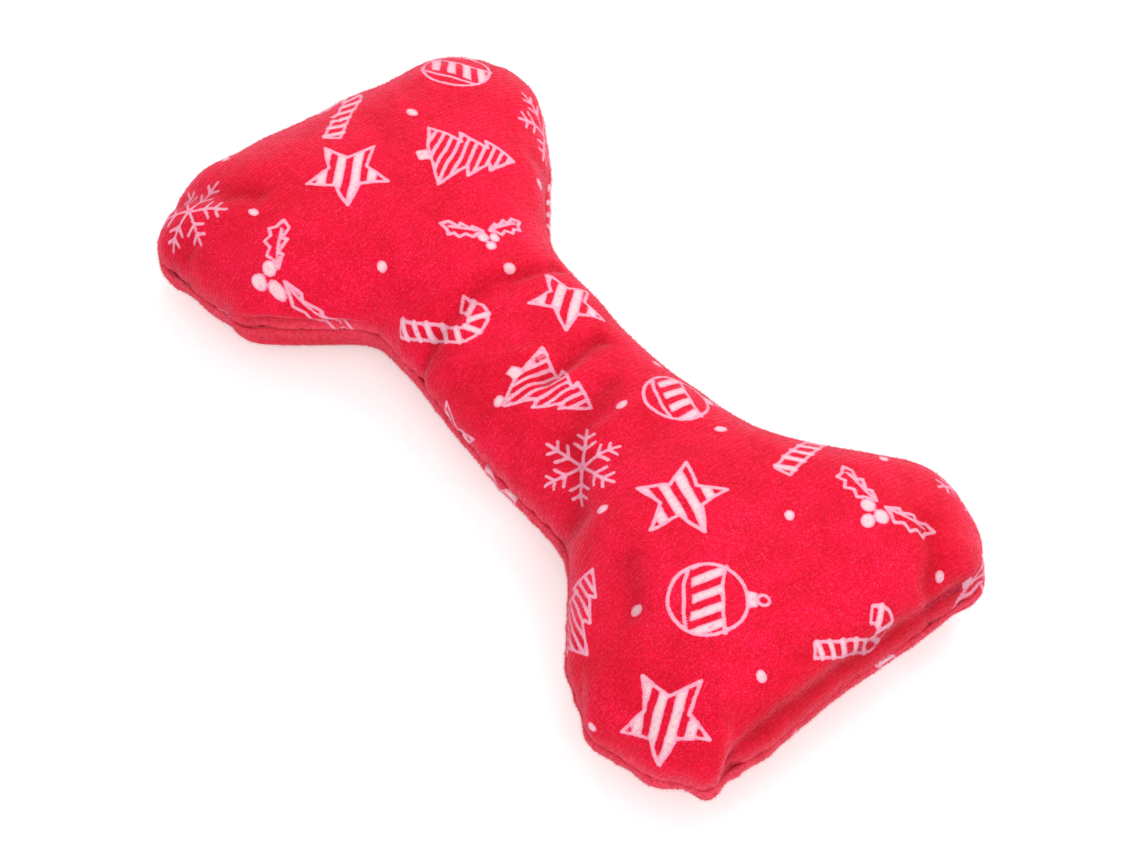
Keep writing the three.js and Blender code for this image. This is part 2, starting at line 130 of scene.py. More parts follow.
@dataclass(frozen=True)
class OutlineShares:
    """The corners of the bone, listed one by one: shares of its half length, half width and corner radius."""

    near_right_shaft: tuple = ((0.03, -1.075, 10), (0.355, -1.01, 1.1))
    right_lobe: tuple = (
        (0.585, -0.78, 1), (0.74, -0.9, 0.65), (0.895, -0.82, 0.8), (1, -0.68, 0.4), (0.984, -0.56, 0.4),
        (0.99, -0.38, 0.7), (0.97, 0.025, 3), (0.976, 0.755, 0.6), (0.875, 0.895, 1.2), (0.72, 0.965, 1.5),
    )
    far_shaft: tuple = ((0.43, 1.2, 1.2), (0.195, 1.01, 2), (-0.01, 1, 10), (-0.32, 1, 1.2))
    left_lobe: tuple = (
        (-0.53, 0.745, 1), (-0.74, 0.985, 1.25), (-0.95, 0.8, 2), (-0.985, 0, 2.75), (-0.995, -0.36, 0.6),
        (-0.995, -0.6, 0.9), (-0.89, -0.935, 0.8), (-0.575, -0.83, 0.5),
    )
    near_left_shaft: tuple = ((-0.4, -0.92, 0.65), (-0.235, -0.945, 2))


@dataclass
class BoneOutline:
    """The seam line seen from above, and the rays that run to it from the middle of the bone."""

    half_length: float = 115
    half_width: float = 62
    shaft_half_width: float = 26.2
    corner_radius: float = 20
    shares: OutlineShares = OutlineShares()
    turning_corners: tuple[int, ...] = (5, 9, 18, 21)
    side_cells: int = 420
    end_cells: int = 200
    spine_straight: float = 48
    spine_fade: float = 36
    fillet_points: int = 25
    edge_use: float = 0.49
    search_margin: float = 6.0
    search_rounds: int = 26

    def __post_init__(self) -> None:
        """Rounds the corners and divides the outline into four sides of even cells."""
        line, marks = self.rounded()
        line -= (line.min(0) + line.max(0)) / 2
        start = marks[self.turning_corners[0]]
        line = np.roll(line, -start, axis=0)
        marks = [(marks[c] - start) % len(line) for c in self.turning_corners] + [len(line)]
        closed = np.vstack([line, line[:1]])
        reach = np.concatenate([[0], np.cumsum(np.linalg.norm(np.diff(closed, axis=0), axis=1))])
        cells = (self.end_cells, self.side_cells) * 2
        self.along = np.concatenate([
            np.linspace(reach[low], reach[high], count, endpoint=False)
            for low, high, count in zip(marks[:-1], marks[1:], cells)
        ])
        self.length = reach[-1]
        self.rim = np.stack([np.interp(self.along, reach, closed[:, axis]) for axis in (0, 1)], 1)
        tangent = np.roll(self.rim, -1, axis=0) - np.roll(self.rim, 1, axis=0)
        tangent /= np.linalg.norm(tangent, axis=1)[:, None]
        self.outward = np.stack([tangent[:, 1], -tangent[:, 0]], 1)
        self.root = np.stack([self.spine(self.rim[:, 0]), np.zeros(len(self.rim))], 1)

    def corners(self) -> tuple[np.ndarray, np.ndarray]:
        """Lays out the corners.

        Returns:
            The corners' places and their radii.
        """
        given = self.shares
        rows = [
            (x * self.half_length, y * half, radius * self.corner_radius)
            for half, group in (
                (self.shaft_half_width, given.near_right_shaft), (self.half_width, given.right_lobe),
                (self.shaft_half_width, given.far_shaft), (self.half_width, given.left_lobe),
                (self.shaft_half_width, given.near_left_shaft),
            )
            for x, y, radius in group
        ]
        return np.array(rows)[:, :2], np.array(rows)[:, 2]

    @property
    def count(self) -> int:
        """Points round the outline."""
        return 2 * (self.side_cells + self.end_cells)

    def rounded(self) -> tuple[np.ndarray, list[int]]:
        """Rounds each corner with a smooth arc.

        Returns:
            The points of the line, and for each corner the index of its arc's middle.
        """
        spots, radii = self.corners()
        share = np.linspace(0, 1, self.fillet_points)[:, None]
        arcs = []
        for index, radius in enumerate(radii):
            spot = spots[index]
            before = spots[index - 1] - spot
            after = spots[(index + 1) % len(spots)] - spot
            edges = [np.linalg.norm(before), np.linalg.norm(after)]
            before, after = before / edges[0], after / edges[1]
            inner = math.acos(float(np.clip(before @ after, -0.9999, 0.9999)))
            reach = min(radius / math.tan(inner / 2), self.edge_use * min(edges))
            low, high = spot + before * reach, spot + after * reach
            arcs.append((1 - share) ** 2 * low + 2 * share * (1 - share) * spot + share**2 * high)
        middles = [index * self.fillet_points + self.fillet_points // 2 for index in range(len(arcs))]
        return np.vstack(arcs), middles

    def spine(self, x: np.ndarray) -> np.ndarray:
        """Finds where on the bone's middle line rays start.

        Args:
            x: Outline points' places along the bone.

        Returns:
            The start of the ray to each of them.
        """
        over = np.clip((np.abs(x) - self.spine_straight) / self.spine_fade, 0, 1)
        eased = self.spine_fade * (over - over**3 + over**4 / 2)
        return np.sign(x) * (np.minimum(np.abs(x), self.spine_straight) + eased)

    def length_at(self, index: np.ndarray) -> np.ndarray:
        """Returns the seam's length up to each fractional index."""
        return np.interp(index % self.count, np.arange(self.count + 1), np.append(self.along, self.length))

    def read(self, values: np.ndarray, index: np.ndarray) -> np.ndarray:
        """Reads values round the outline.

        Args:
            values: One value or one row an outline point.
            index: Fractional indices.

        Returns:
            The value at each index.
        """
        low = np.floor(index).astype(int)
        step = index - low
        if values.ndim > 1:
            step = step[:, None]
        return lerp(values[low % self.count], values[(low + 1) % self.count], step)

    def ray_at(self, index: np.ndarray) -> tuple[np.ndarray, np.ndarray]:
        """Returns where the rays at fractional indices start, and how they run to the outline."""
        root = self.read(self.root, index)
        return root, self.read(self.rim, index) - root

    def locate(self, points: np.ndarray) -> tuple[np.ndarray, np.ndarray]:
        """Finds the ray through each point.

        Args:
            points: Places seen from above, inside the outline.

        Returns:
            The fractional index of each point's ray, and its share of the way along it.
        """
        ends, sides = self.end_cells, self.side_cells
        crossings = np.array([ends / 2, ends + sides / 2, 1.5 * ends + sides, 2 * ends + 1.5 * sides])
        x, y = points.T
        quarter = np.where(y >= 0, np.where(x >= 0, 0, 1), np.where(x < 0, 2, 3))
        low = crossings[quarter] - self.search_margin
        high = np.append(crossings[1:], crossings[0] + self.count)[quarter] + self.search_margin
        for _ in range(self.search_rounds):
            middle = (low + high) / 2
            root, ray = self.ray_at(middle)
            away = points - root
            ahead = ray[:, 0] * away[:, 1] - ray[:, 1] * away[:, 0] > 0
            low, high = np.where(ahead, middle, low), np.where(ahead, high, middle)
        middle = (low + high) / 2
        root, ray = self.ray_at(middle)
        share = np.sum((points - root) * ray, 1) / np.sum(ray * ray, 1)
        return middle, np.clip(share, 0, 1)

    def patch(self, loop: np.ndarray, step: int = 1) -> np.ndarray:
        """Fills a loop of outline points with an even grid.

        Args:
            loop: The loop's points, as many as the outline has divided by step.
            step: How many outline cells one cell of this loop spans.

        Returns:
            The grid's points, indexed along the bone and then across it.
        """
        sides, ends = self.side_cells // step, self.end_cells // step
        loop = np.vstack([loop, loop[:1]])
        near = loop[2 * ends + sides:]
        right = loop[:ends + 1]
        far = loop[ends:ends + sides + 1][::-1]
        left = loop[ends + sides:2 * ends + sides + 1][::-1]
        u = np.linspace(0, 1, sides + 1)[:, None, None]
        v = np.linspace(0, 1, ends + 1)[None, :, None]
        ruled = lerp(near[:, None], far[:, None], v) + lerp(left[None], right[None], u)
        return ruled - lerp(lerp(near[0], far[0], v), lerp(near[-1], far[-1], v), u)

    def border(self, step: int = 1) -> np.ndarray:
        """Finds a patch's border.

        Args:
            step: How many outline cells one cell of the patch spans.

        Returns:
            The indices of its border points, in the outline's order.
        """
        sides, ends = self.side_cells // step, self.end_cells // step
        grid = np.arange((sides + 1) * (ends + 1)).reshape(sides + 1, ends + 1)
        return np.concatenate([grid[-1, :-1], grid[:0:-1, -1], grid[0, :0:-1], grid[:-1, 0]])


class Side(Enum):
    """Which half of the bone a cover is."""

    TOP = 1
    BOTTOM = -1


@dataclass(frozen=True)
class Crease:
    """A fold of the cloth along a given line, a ridge where its depth is negative."""

    points: tuple[tuple[float, float], ...]
    depth: float
    width: float

    def depth_at(self, places: np.ndarray) -> np.ndarray:
        """Measures the fold.

        Args:
            places: Places seen from above.

        Returns:
            How deep the fold sinks at each place.
        """
        nearest = np.full(len(places), FAR)
        for start, end in zip(self.points[:-1], self.points[1:]):
            nearest = np.minimum(nearest, distance_to(places, start, end))
        return self.depth * np.exp(-((nearest / self.width) ** 2))


@dataclass(frozen=True)
class Tuck:
    """A trough that follows the seam counterclockwise: places on the seam and heights of cloth over it."""

    stations: tuple[tuple[float, float, float], ...]
    depth: float
    width: float
    ease: float = 9.0


@dataclass(frozen=True)
class NapAndShadingMark:
    """A patch painted darker or, with a positive tone, lighter: partly where the pile lies another way,
    partly painted shade and painted light on the stuffed shape.
    """

    x: float
    y: float
    along: float
    across: float
    turn: float
    tone: float

    def at(self, places: np.ndarray) -> np.ndarray:
        """Reads the patch.

        Args:
            places: Places seen from above.

        Returns:
            The patch's tone at each place.
        """
        cos, sin = math.cos(self.turn), math.sin(self.turn)
        away = (places - (self.x, self.y)) @ np.array([[cos, -sin], [sin, cos]])
        return self.tone * np.exp(-np.sum((away / (self.along, self.across)) ** 2, axis=1))


@dataclass(frozen=True)
class Pucker:
    """A short fold that the seam gathers in the cloth."""

    along: float
    depth: float
    width: float
    reach: float
    slant: float


@dataclass
class BoneBody:
    """The stuffed shape over the outline: its height, its cloth lengths and its relief."""

    outline: BoneOutline
    seam_height: float = 13.7
    shaft_crown: float = 16.8
    lobe_crown: float = 24.2
    crown_exponent: float = 2.7
    shoulder_shares: tuple = ((1, 0.4, -0.05, 0.6, 1.4), (-0.6, 0.25, -0.85, 0.4, 0.8))
    rest_share: float = 0.4
    shaft_belly: float = 0.65
    lobe_belly: float = 0.38
    lump_height: float = 0.6
    lump_spacing: float = 40.0
    lump_skew: float = 0.4
    lump_shares: tuple = ((1, 1.15, 1, 0.1, 0.95, 0, 0.17), (0.6, 0.78, -1.2, 0.32, 0.72, 0.75, 0.31))
    crease_depth: float = 1.6
    crease_reach: float = 7.0
    crease_shares: tuple = (
        (-0.25, -0.29, -0.2, 0.26, 1, 1), (-0.33, -0.28, -0.3, 0.16, -0.5, 1.1),
        (0.025, -0.12, 0.02, 0.235, 0.5, 0.8), (0.16, 0.01, 0.29, -0.355, 0.75, 1.1),
        (0.54, -0.43, 0.645, -0.57, 0.9, 1.1), (-0.905, -0.72, -0.755, -0.53, 1, 1),
        (0.83, 0.61, 0.94, 0.46, 0.9, 1), (-0.49, 0.63, -0.38, 0.52, 0.9, 0.9),
    )
    roll_height: float = 1.0
    roll_depth: float = 1.2
    seam_gap: float = 0.15
    arc_steps: int = 24
    closing_half: float = 36.3
    closing_pitch: float = 6.0
    creases: tuple[Crease, ...] = (
        Crease((
            (-24, -24.5), (-24, -20), (-25, -15), (-26.5, -9), (-27.7, 0), (-25, 10), (-24.5, 18),
        ), 1.3, 2.1),
        Crease(((-33, -24), (-31.6, -19), (-32, -12), (-30.5, -4), (-29, 7)), -1.0, 2.8),
        Crease(((5.2, -7.5), (4, 1.6), (2.8, 12.2)), 1.6, 2.4),
        Crease(((-19, -25), (-10, -16), (-1.7, -3.5)), -0.7, 2.6),
        Crease(((17, 3), (21, -8), (24, -15.5), (33, -19), (40, -25.5)), 1.6, 4.0),
        Crease(((62.4, -26.5), (69.1, -31.2), (74, -35.4)), 1.3, 3.0),
        Crease(((-104.3, -44.7), (-95.8, -38), (-86.6, -32.8)), 1.1, 3.0),
        Crease(((95.5, 37.9), (103.8, 34.5), (108.4, 28.6)), 1.1, 2.8),
        Crease(((-62, -42), (-55, -33), (-50, -24)), -0.9, 4.0),
        Crease(((-56.4, 39.3), (-52.5, 39), (-43.5, 32.4)), 0.8, 2.8),
        Crease(((-22.4, -20.2), (-20.4, -23.4)), 0.6, 2.4),
        Crease(((-94, -57), (-89.6, -53.4)), 0.9, 3.4),
    )
    tucks: tuple[Tuck, ...] = (
        Tuck((
            (113.8, -36.6, 3), (112, -31, 7), (113, -22, 8.5), (112, -7, 7.5), (112, 12, 6.5),
            (112, 31, 5.5), (111.5, 44, 4.5),
        ), 1.9, 4.1, 13),
        Tuck(((-67, -51, 2), (-57, -45, 2.4), (-46, -31, 2)), 1.5, 1.7),
    )
    # Patches of nap, with painted shade and painted light among them: the long dark patch at x 111 is painted
    # shade along the end wall, and the light one at (-54, -34) is painted light on the near lobe.
    nap_and_shading_marks: tuple[NapAndShadingMark, ...] = (
        NapAndShadingMark(1, -22, 14, 5, 0.2, -0.6), NapAndShadingMark(84, -43, 12, 8, 0.5, -0.6),
        NapAndShadingMark(100, 36, 9, 7, 0.8, -0.9), NapAndShadingMark(-91, -35, 11, 5, 0.5, -0.8),
        NapAndShadingMark(24, 9, 8, 5, -0.3, 0.5), NapAndShadingMark(-54, -34, 14, 7, 0.8, 0.8),
        NapAndShadingMark(66, -27, 3, 8, 0.6, 0.5), NapAndShadingMark(-72, 12, 16, 9, 0.4, 0.3),
        NapAndShadingMark(111, 0, 4.5, 36, 0.0, -0.9),
    )

    closing_middle: tuple[float, float] = (0, -27)
    notch: tuple[float, float] = (113, -34.6)
    seam_waves: tuple = ((0.35, 9, 0.6), (0.25, 17, 2.1))
    grain_seed: int = 12
    pucker_seed: int = 13

    def __post_init__(self) -> None:
        """Lays out the puckers and the noise of the relief."""
        self.grain = SoftNoise(self.grain_seed)
        draw = np.random.default_rng(self.pucker_seed)
        near_middle = self.along_at(*self.closing_middle)
        puckers = [Pucker(self.along_at(*self.notch), 1.2, 2.0, 4.5, 0.0)]
        along = 0.0
        while along < self.outline.length - 4:
            closing = abs(along - near_middle) < self.closing_half
            puckers.append(Pucker(
                along=along, depth=draw.uniform(0.12, 0.42) * (1.4 if closing else 1.0),
                width=draw.uniform(0.8, 1.7), reach=draw.uniform(1.8, 5.5), slant=draw.uniform(-0.35, 0.35),
            ))
            along += self.closing_pitch if closing else draw.uniform(4.0, 11.0)
        self.puckers = puckers

    def along_at(self, x: float, y: float) -> float:
        """Returns the seam's length up to its point that is nearest to a place."""
        away = np.linalg.norm(self.outline.rim - (x, y), axis=1)
        return float(self.outline.along[np.argmin(away)])

    def seam_lift(self, along: np.ndarray) -> np.ndarray:
        """Returns how far the seam wanders up or down at each length along it."""
        turn = 2 * math.pi * along / self.outline.length
        return sum(height * np.sin(count * turn + begin) for height, count, begin in self.seam_waves)

    def lobe_share(self, spine: np.ndarray) -> np.ndarray:
        """Returns how far each place on the spine is from the shaft's middle towards the lobes."""
        return smoothstep(np.abs(spine), 0, self.outline.spine_straight + self.outline.spine_fade / 2)

    def height(self, side: Side, spine: np.ndarray) -> np.ndarray:
        """Measures the stuffed height over or under the seam.

        Args:
            side: The cover's side.
            spine: Where each ray starts on the spine.

        Returns:
            The height at the crown of each ray.
        """
        if side is Side.BOTTOM:
            return np.full(len(spine), self.seam_height)
        return lerp(self.shaft_crown, self.lobe_crown, self.lobe_share(spine))

    def crown_power(self, plan: np.ndarray) -> np.ndarray:
        """Shapes the crown, fuller where the filling stands up to the seam.

        Args:
            plan: Places seen from above.

        Returns:
            The exponent of the crown's curve at each place.
        """
        growth = np.ones(len(plan))
        for middle_x, reach_x, middle_y, reach_y, share in self.shoulder_shares:
            along = (plan[:, 0] / self.outline.half_length - middle_x) / reach_x
            across = (plan[:, 1] / self.outline.half_width - middle_y) / reach_y
            growth += share * np.exp(-(along**2 + across**2))
        return self.crown_exponent * growth

    def fullness(self, side: Side, share: np.ndarray, spine: np.ndarray, power: np.ndarray) -> np.ndarray:
        """Returns the share of the full height along rays.

        Args:
            side: The cover's side.
            share: How far along its ray each place is.
            spine: Where each ray starts on the spine.
            power: The crown's exponent at each place.

        Returns:
            One share a place.
        """
        if side is Side.TOP:
            return np.sqrt(np.clip(1 - share**power, 0, 1))
        swing = np.clip((share - self.rest_share) / (1 - self.rest_share), 0, 1)
        belly = lerp(self.shaft_belly, self.lobe_belly, self.lobe_share(spine))
        return np.clip(1 - swing * swing, 0, 1) ** belly

    def angle_share(self, side: Side, turn: np.ndarray) -> np.ndarray:
        """Turns angles of a ray's profile into shares of the ray.

        Args:
            side: The cover's side.
            turn: Angles from 0 at the crown to a right angle at the seam.

        Returns:
            One share an angle.
        """
        if side is Side.TOP:
            return np.sin(turn) ** (2 / self.crown_exponent)
        return self.rest_share + (1 - self.rest_share) * np.sin(turn)

    def share_angle(self, side: Side, share: np.ndarray) -> np.ndarray:
        """Turns shares of a ray into angles of its profile.

        Args:
            side: The cover's side.
            share: Shares of the way along a ray.

        Returns:
            One angle a share.
        """
        if side is Side.TOP:
            return np.arcsin(np.clip(share ** (self.crown_exponent / 2), 0, 1))
        swing = (share - self.rest_share) / (1 - self.rest_share)
        return np.arcsin(np.clip(swing, 0, 1))

    def cloth_reach(self, side: Side, index: np.ndarray, share: np.ndarray) -> np.ndarray:
        """Measures the cloth from the spine outwards, along rays.

        Args:
            side: The cover's side.
            index: The index of each point's ray.
            share: Each point's share of its ray.

        Returns:
            The length of cloth from the spine to each point.
        """
        root, ray = self.outline.ray_at(index)
        radius = np.linalg.norm(ray, axis=1)
        rise = self.height(side, root[:, 0]) - self.roll_height
        angle = self.share_angle(side, share)
        power = self.crown_power(root + ray * np.clip(share, 0.8, 1)[:, None])
        flat = radius * (np.minimum(share, self.rest_share) if side is Side.BOTTOM else 0 * share)
        total, before = flat, None
        for step in np.linspace(0, 1, self.arc_steps):
            spot = self.angle_share(side, angle * step)
            now = (radius * spot, rise * self.fullness(side, spot, root[:, 0], power))
            if before is not None:
                total = total + np.hypot(now[0] - before[0], now[1] - before[1])
            before = now
        return total

    def gathers(self, side: Side, along: np.ndarray, below: np.ndarray) -> np.ndarray:
        """Measures the seam's puckers.

        Args:
            side: The cover's side.
            along: Each place's length along the seam.
            below: Its distance from the seam, measured over the cloth.

        Returns:
            How deep they sink at each place.
        """
        depth = np.zeros(len(along))
        for number, pucker in enumerate(self.puckers):
            deep = pucker.depth * (1.0 if side is Side.TOP else 0.8 + 0.3 * math.sin(number))
            offset = along - pucker.along - pucker.slant * below
            offset = (offset + self.outline.length / 2) % self.outline.length - self.outline.length / 2
            near = np.abs(offset) < 4 * pucker.width
            widen = pucker.width * (1 + 0.10 * below[near])
            fall = np.exp(-((below[near] / pucker.reach) ** 1.5))
            depth[near] += deep * fall * np.exp(-((offset[near] / widen) ** 2))
        return depth

    def relief(self, places: np.ndarray) -> np.ndarray:
        """Measures the stuffing's lumps and the main creases, as the solid has them.

        Args:
            places: Places seen from above.

        Returns:
            The rise at each place, negative in a crease.
        """
        x, y = places.T
        rise = np.zeros(len(places))
        for height, along, skew, start, across, lean, begin in self.lump_shares:
            first = (x + skew * self.lump_skew * y) / (along * self.lump_spacing) + start
            second = (y + lean * self.lump_skew * x) / (across * self.lump_spacing) + begin
            rise += height * self.lump_height * np.sin(2 * math.pi * first) * np.cos(2 * math.pi * second)
        half_length, half_width = self.outline.half_length, self.outline.half_width
        for from_x, from_y, to_x, to_y, depth, reach in self.crease_shares:
            ends = ((from_x * half_length, from_y * half_width), (to_x * half_length, to_y * half_width))
            rise -= Crease(ends, depth * self.crease_depth, reach * self.crease_reach).depth_at(places)
        return rise

    def troughs(self, places: np.ndarray, along: np.ndarray, below: np.ndarray) -> np.ndarray:
        """Returns how deep the narrow creases and tucks sink at each place.

        Args:
            places: The places seen from above.
            along: The seam's length up to each place's ray.
            below: Each place's distance from the seam, measured over the cloth.

        Returns:
            One depth a place.
        """
        wander = np.stack([self.grain.at(places + shift, 9.0) for shift in (0, 500)], 1)
        depth = sum(crease.depth_at(places + 0.9 * wander) for crease in self.creases)
        wave = self.grain.at(np.column_stack([along, 0 * along + 50]), 14.0)
        length = self.outline.length
        for tuck in self.tucks:
            marks = np.array([self.along_at(x, y) for x, y, _ in tuck.stations])
            start = marks[0]
            marks = (marks - start) % length
            inside = (along - start + tuck.ease) % length - tuck.ease
            level = np.interp(inside, marks, [height for _, _, height in tuck.stations])
            window = smoothstep(inside, -tuck.ease, tuck.ease)
            window *= 1 - smoothstep(inside, marks[-1] - tuck.ease, marks[-1] + tuck.ease)
            away = (below - level - 0.7 * wave) / tuck.width
            depth += tuck.depth * (1 + 0.3 * wave) * window * np.exp(-(away**2))
        return depth

    def nap_and_painted_shading(self, places: np.ndarray) -> np.ndarray:
        """Returns how much lighter the cloth is painted at each place, negative where it is darker: partly
        nap, partly painted light and shade.
        """
        ragged = np.stack([self.grain.at(places + shift, 7.0) for shift in (900, 1300)], 1)
        return sum(mark.at(places + 2.5 * ragged) for mark in self.nap_and_shading_marks)

    def swell(self, places: np.ndarray) -> np.ndarray:
        """Returns the small unevenness of the stuffing at each place."""
        return 0.28 * self.grain.at(places, 13.0) + 0.10 * self.grain.at(places + 200, 6.0)


class InkKind(Enum):
    """The motifs of the print."""

    SNOWFLAKE = "snowflake"
    BAUBLE = "bauble"
    FIR = "fir tree"
    CANE = "candy cane"
    STAR = "star"
    HOLLY = "holly"
    DOT = "dot"


@dataclass(frozen=True)
class Hatch:
    """Parallel bars of ink."""

    turn: float
    pitch: float
    width: float


@dataclass(frozen=True)
class Mark:
    """One drawn line, filled shape or hatched shape of a motif."""

    points: np.ndarray
    width: float = 0.0
    closed: bool = False
    hatch: Hatch | None = None

    def ink(self, places: np.ndarray) -> np.ndarray:
        """Inks the mark.

        Args:
            places: Places about the motif's middle.

        Returns:
            How far inside the ink each place is, negative outside.
        """
        ends = np.roll(self.points, -1, axis=0)
        starts = self.points
        if not (self.closed or self.width == 0):
            starts, ends = starts[:-1], ends[:-1]
        nearest = np.full(len(places), FAR)
        inside = np.zeros(len(places), bool)
        for start, end in zip(starts, ends):
            nearest = np.minimum(nearest, distance_to(places, start, end))
            run, rise = end - start
            if self.width == 0 and rise != 0:
                away = places - start
                across = (start[1] > places[:, 1]) != (end[1] > places[:, 1])
                inside ^= across & (away[:, 0] < away[:, 1] * run / rise)
        if self.width:
            return self.width / 2 - nearest
        ink = np.where(inside, nearest, -nearest)
        if self.hatch:
            turned = places @ np.array([math.cos(self.hatch.turn), math.sin(self.hatch.turn)])
            offset = np.abs(turned % self.hatch.pitch - self.hatch.pitch / 2)
            ink = np.minimum(ink, self.hatch.width / 2 - offset)
        return ink


@dataclass(frozen=True)
class Motif:
    """One motif of the print, placed on the flat cloth."""

    kind: InkKind
    x: float
    y: float
    radius: float = 12.0
    turn: float = 0.0
    line: float = 0.86

    def marks(self) -> list[Mark]:
        """Draws the motif.

        Returns:
            Its marks about its own middle.
        """
        drawings = {
            InkKind.SNOWFLAKE: self.snowflake, InkKind.BAUBLE: self.bauble, InkKind.FIR: self.fir,
            InkKind.CANE: self.cane, InkKind.STAR: self.star, InkKind.HOLLY: self.holly,
            InkKind.DOT: self.dot,
        }
        return drawings[self.kind]()

    def shape(self, *points: tuple[float, float]) -> np.ndarray:
        """Returns points given in shares of the radius."""
        return np.array(points, float) * self.radius

    def round(self, x: float, y: float, wide: float, high: float, count: int = 20) -> np.ndarray:
        """Returns an ellipse in shares of the radius."""
        turn = np.linspace(0, 2 * math.pi, count, endpoint=False)
        return np.stack([x + wide * np.cos(turn), y + high * np.sin(turn)], 1) * self.radius

    def reach(self, share: float, turn: float) -> np.ndarray:
        """Returns the point that lies a share of the radius away at an angle."""
        return np.array([math.cos(turn), math.sin(turn)]) * share * self.radius

    def snowflake(self) -> list[Mark]:
        """Draws six arms, each with two pairs of twigs.

        Returns:
            The marks.
        """
        marks = []
        for arm in np.arange(6) * math.pi / 3 + 0.2:
            marks.append(Mark(np.array([self.reach(0.06, arm), self.reach(1, arm)]), self.line))
            for start, length in ((0.42, 0.30), (0.70, 0.24)):
                for lean in (-0.95, 0.95):
                    foot = self.reach(start, arm)
                    marks.append(Mark(np.array([foot, foot + self.reach(length, arm + lean)]), self.line))
        return marks

    def bauble(self) -> list[Mark]:
        """Draws a ball with a hatched band, a cap and a ring.

        Returns:
            The marks.
        """
        ball = self.round(0, -0.14, 0.76, 0.74, 26)
        rim = self.round(0, -0.14, 0.76, 0.74, 60)
        band = rim[(rim[:, 1] / self.radius > -0.5) & (rim[:, 1] / self.radius < 0.2)]
        order = np.argsort(np.arctan2(band[:, 1] + 0.14 * self.radius, band[:, 0]))
        bar = Hatch(0.45, 4.2, 2.3)
        return [
            Mark(ball, self.line, closed=True),
            Mark(band[order], hatch=bar),
            Mark(self.shape((-0.72, 0.2), (-0.3, 0.13), (0.3, 0.13), (0.72, 0.2)), self.line),
            Mark(self.shape((-0.66, -0.5), (-0.3, -0.58), (0.3, -0.58), (0.66, -0.5)), self.line),
            Mark(self.shape((-0.17, 0.6), (0.17, 0.6), (0.15, 0.78), (-0.15, 0.78))),
            Mark(self.round(0, 0.9, 0.11, 0.11), self.line * 0.9, closed=True),
        ]

    def fir(self) -> list[Mark]:
        """Draws three hatched tiers on a short trunk.

        Returns:
            The marks.
        """
        tiers = self.shape(
            (0, 1), (-0.4, 0.44), (-0.2, 0.46), (-0.6, -0.08), (-0.34, -0.06), (-0.8, -0.68), (0, -0.76),
            (0.8, -0.68), (0.34, -0.06), (0.6, -0.08), (0.2, 0.46), (0.4, 0.44),
        )
        return [
            Mark(tiers, self.line, closed=True),
            Mark(tiers, hatch=Hatch(1.1, 2.3, 0.95)),
            Mark(self.shape((-0.15, -0.76), (0.15, -0.76), (0.13, -1.0), (-0.13, -1.0))),
        ]

    def cane(self) -> list[Mark]:
        """Draws a hooked stick with slanted bars.

        Returns:
            The marks.
        """
        bend = np.linspace(0, math.pi * 1.08, 9)
        hook = [(0.36 * math.cos(turn) - 0.1, 0.5 + 0.36 * math.sin(turn)) for turn in bend]
        middle = self.shape((0.26, -1.0), (0.26, -0.3), (0.26, 0.2), *hook)
        along = np.gradient(middle, axis=0)
        along /= np.linalg.norm(along, axis=1)[:, None]
        across = np.stack([-along[:, 1], along[:, 0]], 1) * 0.17 * self.radius
        marks = [Mark(np.vstack([middle + across, (middle - across)[::-1]]), self.line, closed=True)]
        reach = np.concatenate([[0], np.cumsum(np.linalg.norm(np.diff(middle, axis=0), axis=1))])
        for spot in np.arange(1.6, reach[-1] - 1.0, 4.0):
            low = [np.interp(spot - 0.9, reach, (middle + across)[:, axis]) for axis in (0, 1)]
            high = [np.interp(spot + 0.9, reach, (middle - across)[:, axis]) for axis in (0, 1)]
            marks.append(Mark(np.array([low, high]), 1.7))
        return marks

    def star(self) -> list[Mark]:
        """Draws a five-pointed star with bold bars.

        Returns:
            The marks.
        """
        turn = np.arange(10) * math.pi / 5 + math.pi / 2
        reach = np.where(np.arange(10) % 2, 0.45, 0.98) * self.radius
        points = np.stack([np.cos(turn) * reach, np.sin(turn) * reach], 1)
        return [Mark(points, self.line, closed=True), Mark(points, hatch=Hatch(0.5, 4.4, 2.5))]

    def holly(self) -> list[Mark]:
        """Draws two spiny leaves over three berries.

        Returns:
            The marks.
        """
        leaf = np.array([
            (0.1, 0.0), (0.32, 0.2), (0.4, 0.13), (0.6, 0.34), (0.68, 0.24), (0.86, 0.42), (1.08, 0.38),
            (0.98, 0.2), (1.0, 0.04), (0.82, 0.06), (0.74, -0.1), (0.56, -0.02), (0.42, -0.16), (0.3, -0.06),
        ])
        vein = np.array([(0.22, 0.04), (0.9, 0.28)])
        marks = []
        for flip in (1, -1):
            marks.append(Mark(leaf * (flip, 1) * self.radius, self.line, closed=True))
            marks.append(Mark(vein * (flip, 1) * self.radius, self.line * 0.9))
        marks += [Mark(self.round(x, y, 0.15, 0.15)) for x, y in ((-0.16, -0.2), (0.17, -0.24), (0.0, -0.5))]
        return marks

    def dot(self) -> list[Mark]:
        """A small filled oval."""
        return [Mark(self.round(0, 0, 1.0, 1.3))]


